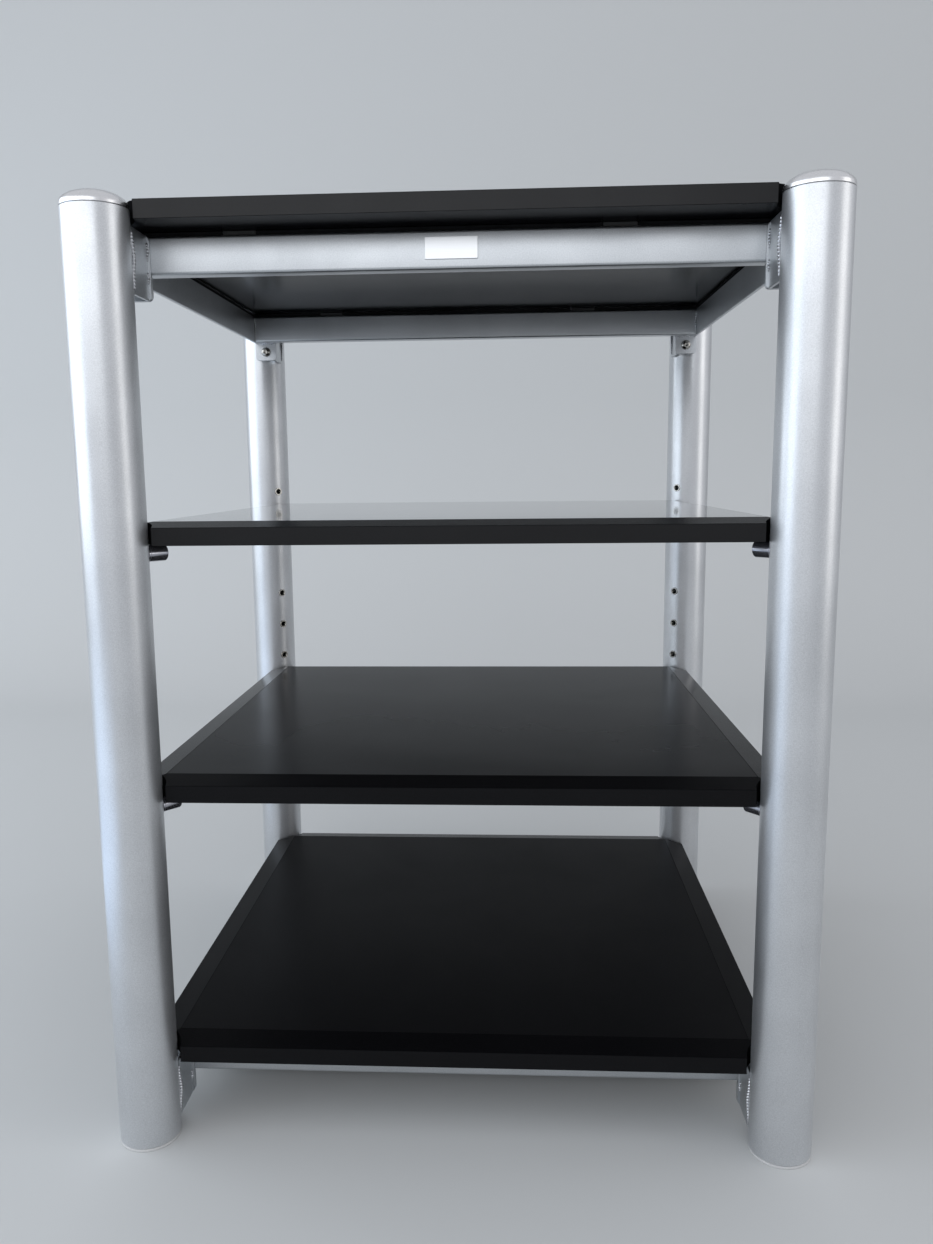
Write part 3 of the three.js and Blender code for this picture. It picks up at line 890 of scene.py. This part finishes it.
def board_shape(low, high):
    shape = bmesh.new()
    levels = [(0, low.z), (0, low.z + BOARD_EDGE), (BOARD_SLOPE_RUN, high.z)]
    rings = []
    for inset, height in levels:
        x, y = high.x - inset, high.y - inset
        corners = [(-x, -y), (x, -y), (x, y), (-x, y)]
        rings.append([shape.verts.new((corner_x, corner_y, height)) for corner_x, corner_y in corners])
    for first, second in zip(rings, rings[1:]):
        join_rings(shape, first, second)
    shape.faces.new(rings[0])
    shape.faces.new(rings[-1])
    return cut_away(shape, notch_shapes(low.z, high.z))


# %% Boards
BOARD_SOFT_EDGE = 1.1 * MM
BOARD_SOFT_STEPS = 4
BOARD_SOFT_ANGLE = math.radians(5)
BOARD_EDGE_FINISHES = {
    "top_board": "black_lacquer_edge",
    "upper_shelf": "black_lacquer_edge",
    "lower_shelf": "black_lacquer_low_edge",
    "bottom_board": "black_lacquer_low_edge",
}
FACE_INDEX, EDGE_INDEX, NOTCH_INDEX = range(3)
UPRIGHT_LIMIT = 0.1
OUTER_SHARE = 0.9999


def board_finish_index(face, high):
    """Which finish a face takes: lacquer, the glossier one of the straight edges, or primer."""
    if abs(face.normal.z) > UPRIGHT_LIMIT:
        return FACE_INDEX
    share_x = abs(face.center.x) / high.x
    share_y = abs(face.center.y) / high.y
    return EDGE_INDEX if max(share_x, share_y) > OUTER_SHARE else NOTCH_INDEX


for board, edge_finish in BOARD_EDGE_FINISHES.items():
    low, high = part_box(board)
    shape = board_shape(low, high)
    piece = finished(f"{board}_lacquered", shape, "black_lacquer", f"{board}_panel", [board])
    soften(piece, BOARD_SOFT_EDGE, BOARD_SOFT_STEPS, BOARD_SOFT_ANGLE).material = NOTCH_INDEX
    for edge in piece.data.edges:
        edge.use_edge_sharp = False
    piece.data.materials.append(FINISHES[edge_finish])
    piece.data.materials.append(FINISHES["black_primer"])
    for face in piece.data.polygons:
        face.material_index = board_finish_index(face, high)
    print(board, "at", round(low.z, 4), "to", round(high.z, 4))

# %% [markdown]
# ## Frames
# Each frame is a rectangular tube at the front and back and a flat bar at each side, welded
# together. The tube is an outline with round corners made thick along X, with a hollow inside.

# %% Sizes of the frames
RAIL_CORNER = 3 * MM
RAIL_WALL = 2 * MM
BAR_SOFT_EDGE = 0.7 * MM
BAR_EDGE_STEPS = 4
PLATE_CORNER = 5 * MM
PLATE_SOFT_EDGE = 0.5 * MM
FRAMES = ("top", "bottom")
bar_low, bar_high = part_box("top_side_bar_right")
RAIL_END = bar_low.x - SEAM
BAR_OUTSIDE = bar_high.x


def rail_sizes(place):
    """Lowest and highest corner of the straight tube of a frame's rear rail."""
    low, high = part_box(f"{place}_rail_rear")
    side_low, side_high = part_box(f"{place}_side_bar_right")
    return Vector((-RAIL_END, low.y, side_low.z)), Vector((RAIL_END, high.y, side_high.z))


def rail_outline(low, high, inset):
    corners = (low.y + inset, low.z + inset), (high.y - inset, high.z - inset)
    return rounded_rectangle(*corners, RAIL_CORNER - inset)


def rail_shape(low, high):
    outer = rail_outline(low, high, 0)
    hollow = rail_outline(low, high, RAIL_WALL)
    return moved(thick_outline(outer, low.x, high.x, hollow), Z_TO_X)


# %% Rails and side bars
for place in FRAMES:
    low, high = rail_sizes(place)
    for end, sign in (("front", -1), ("rear", 1)):
        rail = in_corner(rail_shape(low, high), (1, sign))
        finished(f"{place}_{end}_tube", rail, "silver_paint_frame", stands_for=[f"{place}_rail_{end}"])
    for side in ("left", "right"):
        node = f"{place}_side_bar_{side}"
        low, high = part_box(node)
        corners = (low.x, low.z), (high.x, high.z)
        bar = upright_plate(*corners, BAR_SOFT_EDGE, low.y, high.y, BAR_EDGE_STEPS)
        finished(f"{place}_{side}_bar", bar, "silver_paint_frame", stands_for=[node])
    print(place, "frame: last bar from", [round(v, 4) for v in low], "to", [round(v, 4) for v in high])

# %% [markdown]
# ## Tabs and brackets
# A tab hangs under each end of a rail, with a bolt hole. On the post sits a bracket: a plate
# behind the tab, a leg from that plate to the post, and a nut. They are flat steel with round
# corners. The leg has to follow the round of the post, so it is cut by a cylinder a little larger
# than the post.

# %% Tabs with bolt holes
PLATE_THICKNESS = 3 * MM
PLATE_LAP = 0.2 * MM
BOLT_HOLE_RADIUS = 4.3 * MM
DRILL_REACH = 1.0


def bolt_place(place):
    """The middle of a frame's rear right bolt, in X and Z."""
    low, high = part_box(f"{place}_bolt_rear_right")
    return (low.x + high.x) / 2, (low.z + high.z) / 2


def bolt_drill(place):
    x, z = bolt_place(place)
    drill = rod(BOLT_HOLE_RADIUS, -DRILL_REACH, DRILL_REACH, HOLE_STEPS)
    return moved(drill, Matrix.Translation((x, 0, z)) @ Z_TO_Y)


def tab_shape(place):
    low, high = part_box(f"{place}_bracket_rear_right")
    rail_low, rail_high = rail_sizes(place)
    corners = (low.x, low.z), (BAR_OUTSIDE, rail_low.z + RAIL_WALL)
    front, back = rail_high.y - PLATE_THICKNESS, rail_high.y - PLATE_LAP
    return cut_away(upright_plate(*corners, PLATE_CORNER, front, back), [bolt_drill(place)])


for place in FRAMES:
    in_each_corner(f"{place}_*_tab", tab_shape(place), "silver_paint_frame", bevel=PLATE_SOFT_EDGE)
print("tabs", len(FRAMES) * len(CORNERS))


# %% Brackets with their nuts
LEG_LIP = 2.5 * MM
NUT_WIDTH = 13 * MM
NUT_HEIGHT = 6.5 * MM
NUT_CHAMFER = 0.6 * MM
HEXAGON = 6


def hexagon_radius(width):
    """The radius to the corners of a hexagon that is this wide across its flats."""
    return width / 2 / math.cos(math.pi / HEXAGON)


def bracket_shape(place):
    low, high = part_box(f"{place}_bracket_rear_right")
    corners = (low.x, low.z), (BAR_OUTSIDE, high.z)
    plate = upright_plate(*corners, PLATE_CORNER, low.y, low.y + PLATE_THICKNESS)
    plate = cut_away(plate, [bolt_drill(place)])
    start = (low.x + LEG_LIP, low.y + PLATE_THICKNESS - PLATE_LAP)
    end = (start[0] + PLATE_THICKNESS, POST_PLACE.y)
    leg = thick_outline([start, (end[0], start[1]), end, (start[0], end[1])], low.z, high.z)
    room = rod(POST_RADIUS + SEAM, -DRILL_REACH, 2 * DRILL_REACH, POST_STEPS)
    return joined([plate, cut_away(leg, [moved(room, TO_POST)])])


def nut_shape(place):
    x, z = bolt_place(place)
    low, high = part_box(f"{place}_bracket_rear_right")
    radius = hexagon_radius(NUT_WIDTH)
    profile = [(0, 0), (radius, 0), (radius, NUT_HEIGHT - NUT_CHAMFER)]
    profile += [(radius - NUT_CHAMFER, NUT_HEIGHT), (0, NUT_HEIGHT)]
    spot = Matrix.Translation((x, low.y + PLATE_THICKNESS, z))
    return cut_away(moved(turned(profile, HEXAGON), spot @ Z_TO_Y), [bolt_drill(place)])


for place in FRAMES:
    name = f"{place}_*_bracket_plates"
    node = f"{place}_bracket_*"
    bracket = bracket_shape(place)
    in_each_corner(name, bracket, "silver_paint_frame", node=node, bevel=PLATE_SOFT_EDGE)
    in_each_corner(f"{place}_*_weld_nut", nut_shape(place), "silver_paint_frame")
print("brackets", len(FRAMES) * len(CORNERS))

# %% [markdown]
# ## Weld beads
# The brackets are welded to the posts, and the rails to the bars and tabs. A bead is a thin roll
# of metal with ripples, like a row of overlapping coins, and it catches small bright lights under
# the paint. Each bead is a tube whose radius swells and shrinks with the ripples. It is thin at
# its ends and wanders a little from its line.

# %% One weld bead
BEAD_SIDES = 10
BEAD_RINGS_PER_RIPPLE = 5
BEAD_VALLEY = 0.58
BEAD_TAPER = 5
BEAD_DRIFT = 0.25
BEAD_DRIFT_TURN = 9.0


def weld_bead(start, end, radius, ripple):
    """A rippled tube between two points, closed at both ends."""
    shape = bmesh.new()
    along = end - start
    count = max(2, int(along.length / ripple * BEAD_RINGS_PER_RIPPLE))
    turn = Vector((0, 0, 1)).rotation_difference(along.normalized()).to_matrix()
    rings = [[shape.verts.new(start)]]
    for ring in range(1, count):
        share = ring / count
        wave = abs(math.sin(math.pi * share * along.length / ripple))
        swell = BEAD_VALLEY + (1 - BEAD_VALLEY) * wave
        taper = min(1.0, BEAD_TAPER * share, BEAD_TAPER * (1 - share)) ** 0.5
        drift = BEAD_DRIFT * radius * math.sin(BEAD_DRIFT_TURN * share) * taper
        points = []
        for side in range(BEAD_SIDES):
            angle = math.tau * side / BEAD_SIDES
            offset = Vector((math.cos(angle), math.sin(angle), 0)) * radius * swell * taper
            offset += Vector((drift, drift, 0))
            points.append(shape.verts.new(start + along * share + turn @ offset))
        rings.append(points)
    rings.append([shape.verts.new(end)])
    for first, second in zip(rings, rings[1:]):
        join_rings(shape, first, second)
    return shape


# %% [markdown]
# A corner has five beads. Three stand upright on the bracket's leg: one where it meets the post
# and two where it meets the plate. Their ends are given as shares of the leg's height. One bead
# lies between tab and rail, and one stands between rail and bar.

# %% Weld beads
POST_BEAD = (2.3 * MM, 3.4 * MM)
POST_BEAD_SUNK = 0.6 * MM
POST_BEAD_SHARES = (0.06, 0.93)
LEG_BEAD = (1.7 * MM, 3.0 * MM)
LEG_BEAD_SUNK = 0.3 * MM
LEG_BEAD_SHARES = ((0.6, 0.9), (0.25, 0.44))
TAB_BEAD = (1.6 * MM, 3.2 * MM)
TAB_BEAD_LOWER = 0.2 * MM
TAB_BEAD_INSETS = (2 * MM, 3 * MM)
RAIL_BEAD = (2.0 * MM, 3.6 * MM)
RAIL_BEAD_SUNK = 0.6 * MM
RAIL_BEAD_INSET = 3 * MM


def leg_bead(x, y, low, high, shares, size):
    """An upright bead between two shares of a leg's height."""
    ends = [Vector((x, y, low.z + share * (high.z - low.z))) for share in shares]
    return weld_bead(*ends, *size)


def frame_beads(place):
    low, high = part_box(f"{place}_bracket_rear_right")
    rail_low, rail_high = rail_sizes(place)
    leg_x = low.x + LEG_LIP
    post_y = POST_PLACE.y - math.sqrt(POST_RADIUS**2 - (POST_PLACE.x - leg_x) ** 2)
    post_spot = (leg_x - POST_BEAD_SUNK, post_y - POST_BEAD_SUNK)
    plate_spot = (leg_x - LEG_BEAD_SUNK, low.y + PLATE_THICKNESS + LEG_BEAD_SUNK)
    beads = [leg_bead(*post_spot, low, high, POST_BEAD_SHARES, POST_BEAD)]
    beads += [leg_bead(*plate_spot, low, high, shares, LEG_BEAD) for shares in LEG_BEAD_SHARES]
    y, z = rail_high.y - PLATE_THICKNESS, rail_low.z - TAB_BEAD_LOWER
    start = Vector((low.x + TAB_BEAD_INSETS[0], y, z))
    beads.append(weld_bead(start, Vector((RAIL_END - TAB_BEAD_INSETS[1], y, z)), *TAB_BEAD))
    y = rail_low.y + RAIL_BEAD_SUNK
    start = Vector((RAIL_END, y, rail_low.z + RAIL_BEAD_INSET))
    beads.append(weld_bead(start, Vector((RAIL_END, y, rail_high.z - RAIL_BEAD_INSET)), *RAIL_BEAD))
    return joined(beads)


for place in FRAMES:
    in_each_corner(f"{place}_*_weld_beads", frame_beads(place), "silver_paint_weld")
print("corners with weld beads", len(FRAMES) * len(CORNERS))

# %% [markdown]
# ## Bolts
# A button-head bolt holds each tab to its bracket. Its head is a low dome with a hexagon socket,
# and its end sticks out of the nut by a few threads.

# %% Bolts
BOLT_HEAD_HEIGHT = 4.4 * MM
BOLT_RIM = 0.3 * MM
BOLT_DOME_TURN = math.radians(60)
BOLT_DOME_STEPS = 12
BOLT_SHANK_RADIUS = 4 * MM
BOLT_STEPS = 48
BOLT_PITCH = 1.25 * MM
BOLT_THREAD_DEPTH = 0.6 * MM
BOLT_THREADS = 5
SOCKET_WIDTH = 5 * MM
SOCKET_DEPTH = 2.4 * MM
SOCKET_POINT = 0.6 * MM
SOCKET_OVERRUN = 10 * MM


def bolt_shape(low, high):
    """A bolt along Z with its head at the top and its zero under the head."""
    head_radius = (high.x - low.x) / 2
    shank = high.y - low.y - BOLT_HEAD_HEIGHT
    root = BOLT_SHANK_RADIUS - BOLT_THREAD_DEPTH
    profile = [(0, -shank), (root, -shank)]
    for turn in range(1, BOLT_THREADS + 1):
        depth = -shank + turn * BOLT_PITCH
        profile += [(root, depth - BOLT_PITCH / 2), (BOLT_SHANK_RADIUS, depth)]
    profile += [(BOLT_SHANK_RADIUS, 0), (head_radius - BOLT_RIM, 0), (head_radius, BOLT_RIM)]
    for step in range(BOLT_DOME_STEPS + 1):
        angle = BOLT_DOME_TURN * step / BOLT_DOME_STEPS
        rise = (BOLT_HEAD_HEIGHT - BOLT_RIM) * math.sin(angle) / math.sin(BOLT_DOME_TURN)
        profile.append((head_radius * math.cos(angle), BOLT_RIM + rise))
    profile.append((0, BOLT_HEAD_HEIGHT))
    corner = hexagon_radius(SOCKET_WIDTH)
    floor = BOLT_HEAD_HEIGHT - SOCKET_DEPTH
    outline = [(0, floor - SOCKET_POINT), (corner, floor), (corner, SOCKET_OVERRUN), (0, SOCKET_OVERRUN)]
    return cut_away(turned(profile, BOLT_STEPS), [turned(outline, HEXAGON)])


for place in FRAMES:
    low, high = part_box(f"{place}_bolt_rear_right")
    x, z = bolt_place(place)
    head_base = low.y + BOLT_HEAD_HEIGHT
    turn = Matrix.Rotation(math.radians(90), 4, "X")
    bolt = moved(bolt_shape(low, high), Matrix.Translation((x, head_base, z)) @ turn)
    in_each_corner(f"{place}_*_button_bolt", bolt, "bolt_steel", node=f"{place}_bolt_*")
print("bolts", len(FRAMES) * len(CORNERS))

# %% [markdown]
# ## Pegs
# A shelf rests on four stout pegs. The head is a polished dark cylinder with a rounded end and a
# narrow collar at the post, and its shank slides in the post's hole.

# %% Pegs
PEG_LENGTH = 22 * MM
PEG_SHANK_RADIUS = 4 * MM
PEG_SHANK_LENGTH = 14 * MM
PEG_SHANK_CHAMFER = 0.5 * MM
PEG_END_ROUND = 1.6 * MM
PEG_END_STEPS = 8
PEG_COLLAR = 1.6 * MM
PEG_COLLAR_CHAMFER = 0.2 * MM
PEG_GROOVE = 0.3 * MM
PEG_STEPS = 72


def peg_shape(radius):
    """A peg along Z, with its zero where the head meets the post."""
    neck = radius - PEG_GROOVE
    profile = [(0, -PEG_SHANK_LENGTH), (PEG_SHANK_RADIUS - PEG_SHANK_CHAMFER, -PEG_SHANK_LENGTH)]
    profile += [(PEG_SHANK_RADIUS, -PEG_SHANK_LENGTH + PEG_SHANK_CHAMFER), (PEG_SHANK_RADIUS, 0)]
    profile += [(neck, 0), (radius, PEG_GROOVE), (radius, PEG_COLLAR - PEG_COLLAR_CHAMFER)]
    profile += [(neck, PEG_COLLAR), (neck, PEG_COLLAR + PEG_GROOVE)]
    profile += [(radius, PEG_COLLAR + 2 * PEG_GROOVE)]
    end = (radius - PEG_END_ROUND, PEG_LENGTH - PEG_END_ROUND)
    profile += arc(end, PEG_END_ROUND, 0, 90, PEG_END_STEPS)
    profile += [(0, PEG_LENGTH)]
    return turned(profile, PEG_STEPS)


for row in ("upper", "lower"):
    low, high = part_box(f"{row}_peg_rear_right")
    peg = moved(peg_shape((high.z - low.z) / 2), Matrix.Translation((0, 0, SEAM)))
    peg = at_hole(peg, (low.z + high.z) / 2)
    in_each_corner(f"{row}_*_shelf_peg", peg, "peg_metal", f"{row}_peg_*_body", f"{row}_peg_*")
print("pegs", 2 * len(CORNERS))

# %% [markdown]
# ## Pads, shade strips and the blank plate
# Thin rubber pads keep the top and bottom boards off the metal. Between them the gap over each
# rail and side bar lies in shade and is black all along, so black strips are laid there as painted
# shade: an outline with round corners made thick, a little lower than the pads, so that it carries
# nothing. The plate on the front rail is bare brushed aluminium with soft corners.

# %% Pads
PAD_CORNER = 2 * MM
PAD_SOFT_EDGE = 0.6 * MM


def block_shape(low, high, radius):
    """A block with round upright corners."""
    return thick_outline(rounded_rectangle((low.x, low.y), (high.x, high.y), radius), low.z, high.z)


for place in FRAMES:
    for end in ("front", "rear"):
        for side in ("left", "right"):
            node = f"{place}_pad_{end}_{side}"
            name = f"{place}_{end}_{side}_rubber_pad"
            pad = block_shape(*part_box(node), PAD_CORNER)
            finished(name, pad, "pad_rubber", stands_for=[node], bevel=PAD_SOFT_EDGE)
print("pads", len(FRAMES) * len(CORNERS))

# %% Black strips beside the pads, painted shade in the gaps
SHADE_STRIP_END = 330 * MM
SHADE_STRIP_DEPTH = 14 * MM
SHADE_STRIP_ROOM = 0.6 * MM
SHADE_STRIP_CORNER = 1 * MM
SIDE_SHADE_STRIP_CORNER = 0.5 * MM
SHADE_STRIP_SOFT_EDGE = 0.4 * MM


def shade_strip_shape(place, end):
    """Black strips over one rail, painted shade in the gap, in lengths that leave the pads free."""
    boxes = [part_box(f"{place}_pad_{end}_{side}") for side in ("left", "right")]
    middle = (boxes[0][0].y + boxes[0][1].y) / 2
    stops = [-SHADE_STRIP_END]
    for low, high in boxes:
        stops += [low.x - SHADE_STRIP_ROOM, high.x + SHADE_STRIP_ROOM]
    stops.append(SHADE_STRIP_END)
    bottom = boxes[0][0].z
    top = boxes[0][1].z - SHADE_STRIP_ROOM / 2
    lengths = []
    for start, stop in zip(stops[::2], stops[1::2]):
        low = Vector((start, middle - SHADE_STRIP_DEPTH / 2, bottom))
        high = Vector((stop, middle + SHADE_STRIP_DEPTH / 2, top))
        lengths.append(block_shape(low, high, SHADE_STRIP_CORNER))
    return joined(lengths)


def side_shade_strip_shape(place, side):
    """A black strip on a side bar, painted shade in the gap, past the ends of the strips on the rails."""
    low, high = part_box(f"{place}_side_bar_{side}")
    pad_low, pad_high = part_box(f"{place}_pad_rear_{side}")
    reach = (pad_low.y + pad_high.y) / 2 + SHADE_STRIP_DEPTH / 2
    start = Vector((low.x + SHADE_STRIP_ROOM, -reach, high.z))
    stop = Vector((high.x - SHADE_STRIP_ROOM, reach, pad_high.z - SHADE_STRIP_ROOM / 2))
    return block_shape(start, stop, SIDE_SHADE_STRIP_CORNER)


# each strip is painted shade for the dark gap over its rail or bar
for place in FRAMES:
    for end in ("front", "rear"):
        finished(f"{place}_{end}_shade_strip", shade_strip_shape(place, end), "pad_foam", bevel=SHADE_STRIP_SOFT_EDGE)
    for side in ("left", "right"):
        finished(f"{place}_{side}_shade_strip", side_shade_strip_shape(place, side), "pad_foam", bevel=SHADE_STRIP_SOFT_EDGE)
print("foam strips", 4 * len(FRAMES))

# %% Blank plate
BLANK_CORNER = 1 * MM
BLANK_SOFT_EDGE = 0.25 * MM

low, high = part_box("name_plate")
plate = upright_plate((low.x, low.z), (high.x, high.z), BLANK_CORNER, low.y, high.y)
finished("blank_plate", plate, "plate_aluminium", stands_for=["name_plate"], bevel=BLANK_SOFT_EDGE)
print("blank plate", round((high.x - low.x) / MM), "by", round((high.z - low.z) / MM), "mm")

# %% [markdown]
# ## The studio
# The rack stands on a pale floor that curves up into a pale wall, as in a photographer's sweep, so
# there is no hard line behind it. It is made from one outline that is drawn out sideways.

# %% Floor and backdrop
SWEEP_HALF_WIDTH = 6.0
SWEEP_FRONT = -7.0
SWEEP_BACK = 2.6
SWEEP_RADIUS = 1.0
SWEEP_HEIGHT = 4.5
SWEEP_STEPS = 24

paint = bpy.data.materials.new("studio_paint")
paint.use_nodes = True
paint_shader = paint.node_tree.nodes["Principled BSDF"]
paint_shader.inputs["Base Color"].default_value = (0.60, 0.61, 0.61, 1)
paint_shader.inputs["Roughness"].default_value = 0.7
paint_shader.inputs["Specular IOR Level"].default_value = 0.2


def sweep_shape():
    outline = [(SWEEP_FRONT, 0.0)]
    outline += arc((SWEEP_BACK - SWEEP_RADIUS, SWEEP_RADIUS), SWEEP_RADIUS, -90, 0, SWEEP_STEPS)
    outline += [(SWEEP_BACK, SWEEP_HEIGHT)]
    shape = bmesh.new()
    left = [shape.verts.new((-SWEEP_HALF_WIDTH, y, z)) for y, z in outline]
    right = [shape.verts.new((SWEEP_HALF_WIDTH, y, z)) for y, z in outline]
    for step in range(len(outline) - 1):
        shape.faces.new((left[step], right[step], right[step + 1], left[step + 1]))
    return shape


def studio_piece(name, shape):
    """A smooth painted piece of the studio, which isn't part of the rack."""
    for face in shape.faces:
        face.smooth = True
    piece = new_object(name, shape)
    piece.data.materials.append(paint)
    return piece


studio_piece("studio_sweep", sweep_shape())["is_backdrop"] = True
print("sweep from", SWEEP_FRONT, "to", SWEEP_BACK, "m")

# %% [markdown]
# From the side or from behind, that sweep would end in mid-air. A wall goes round the other three
# sides, with round corners and the same curve at its foot. Only the camera sees it. Light and
# reflections pass through it, so the rack is lit as before.

# %% Wall round the other sides
WALL_HALF_WIDTH = 5.5
WALL_FRONT = -6.5
WALL_BACK = SWEEP_BACK + 0.05
WALL_CORNER = 2.2


def wall_shape():
    levels = arc((SWEEP_RADIUS, SWEEP_RADIUS), SWEEP_RADIUS, 270, 180, SWEEP_STEPS)
    levels.append((0, SWEEP_HEIGHT))
    shape = bmesh.new()
    rings = []
    for inset, height in levels:
        low = (-WALL_HALF_WIDTH + inset, WALL_FRONT + inset)
        high = (WALL_HALF_WIDTH - inset, WALL_BACK - inset)
        outline = rounded_rectangle(low, high, WALL_CORNER - inset, SWEEP_STEPS)
        rings.append([shape.verts.new((x, y, height)) for x, y in outline])
    for first, second in zip(rings, rings[1:]):
        join_rings(shape, first, second)
    return shape


surround = studio_piece("studio_wall", wall_shape())
surround.visible_diffuse = False
surround.visible_glossy = False
surround.visible_transmission = False
surround.visible_shadow = False
surround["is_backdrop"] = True
print("wall at", WALL_HALF_WIDTH, "m to each side and", WALL_FRONT, "m in front")

# %% [markdown]
# ### Light
# The rack is lit as by daylight: a wide window on the left, one in front and a weak one on the
# right. Area lights stand for them: big and near, so that their reflections in the posts are
# broad soft bands. A low blue panel at the left stands for daylight that a floor throws up. It
# gives the feet of the posts their cool side, and the camera doesn't see it. The world adds an
# even grey fill.

# %% Lights
RACK_MIDDLE = Vector((0, 0, 0.5))
FACING_UP = math.pi


def area_light(name, place, size, power, colour):
    """A rectangular light that faces the middle of the rack."""
    data = bpy.data.lights.new(name, "AREA")
    data.shape = "RECTANGLE"
    data.size, data.size_y = size
    data.energy = power
    data.color = colour
    light = bpy.data.objects.new(name, data)
    light.location = place
    light.rotation_euler = (RACK_MIDDLE - Vector(place)).to_track_quat("-Z", "Y").to_euler()
    bpy.context.collection.objects.link(light)
    return light


area_light("window_left", (-3.2, -0.6, 1.45), (3.8, 2.2), 49, (0.80, 0.90, 1.0))
area_light("window_front", (-0.9, -3.2, 1.8), (4.0, 1.2), 25, (0.94, 0.97, 1.0))
area_light("window_right", (2.8, -0.9, 1.2), (1.2, 1.8), 8, (1.0, 0.98, 0.95))
low_panel = area_light("low_panel", (-1.9, -0.75, 0.03), (2.2, 1.8), 9, (0.50, 0.69, 1.0))
low_panel.rotation_euler = (FACING_UP, 0, 0)
low_panel.visible_camera = False

world = bpy.data.worlds.new("studio_world")
world.use_nodes = True
sky = world.node_tree.nodes["Background"]
sky.inputs["Color"].default_value = (0.93, 0.95, 1.0, 1)
sky.inputs["Strength"].default_value = 0.74
bpy.context.scene.world = world
bpy.context.scene.view_settings.view_transform = "Standard"
print("lights", [light.name for light in bpy.data.lights])

# %% [markdown]
# ## Measure
# The box round the dressed rack is measured.

# %% Sizes
low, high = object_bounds()
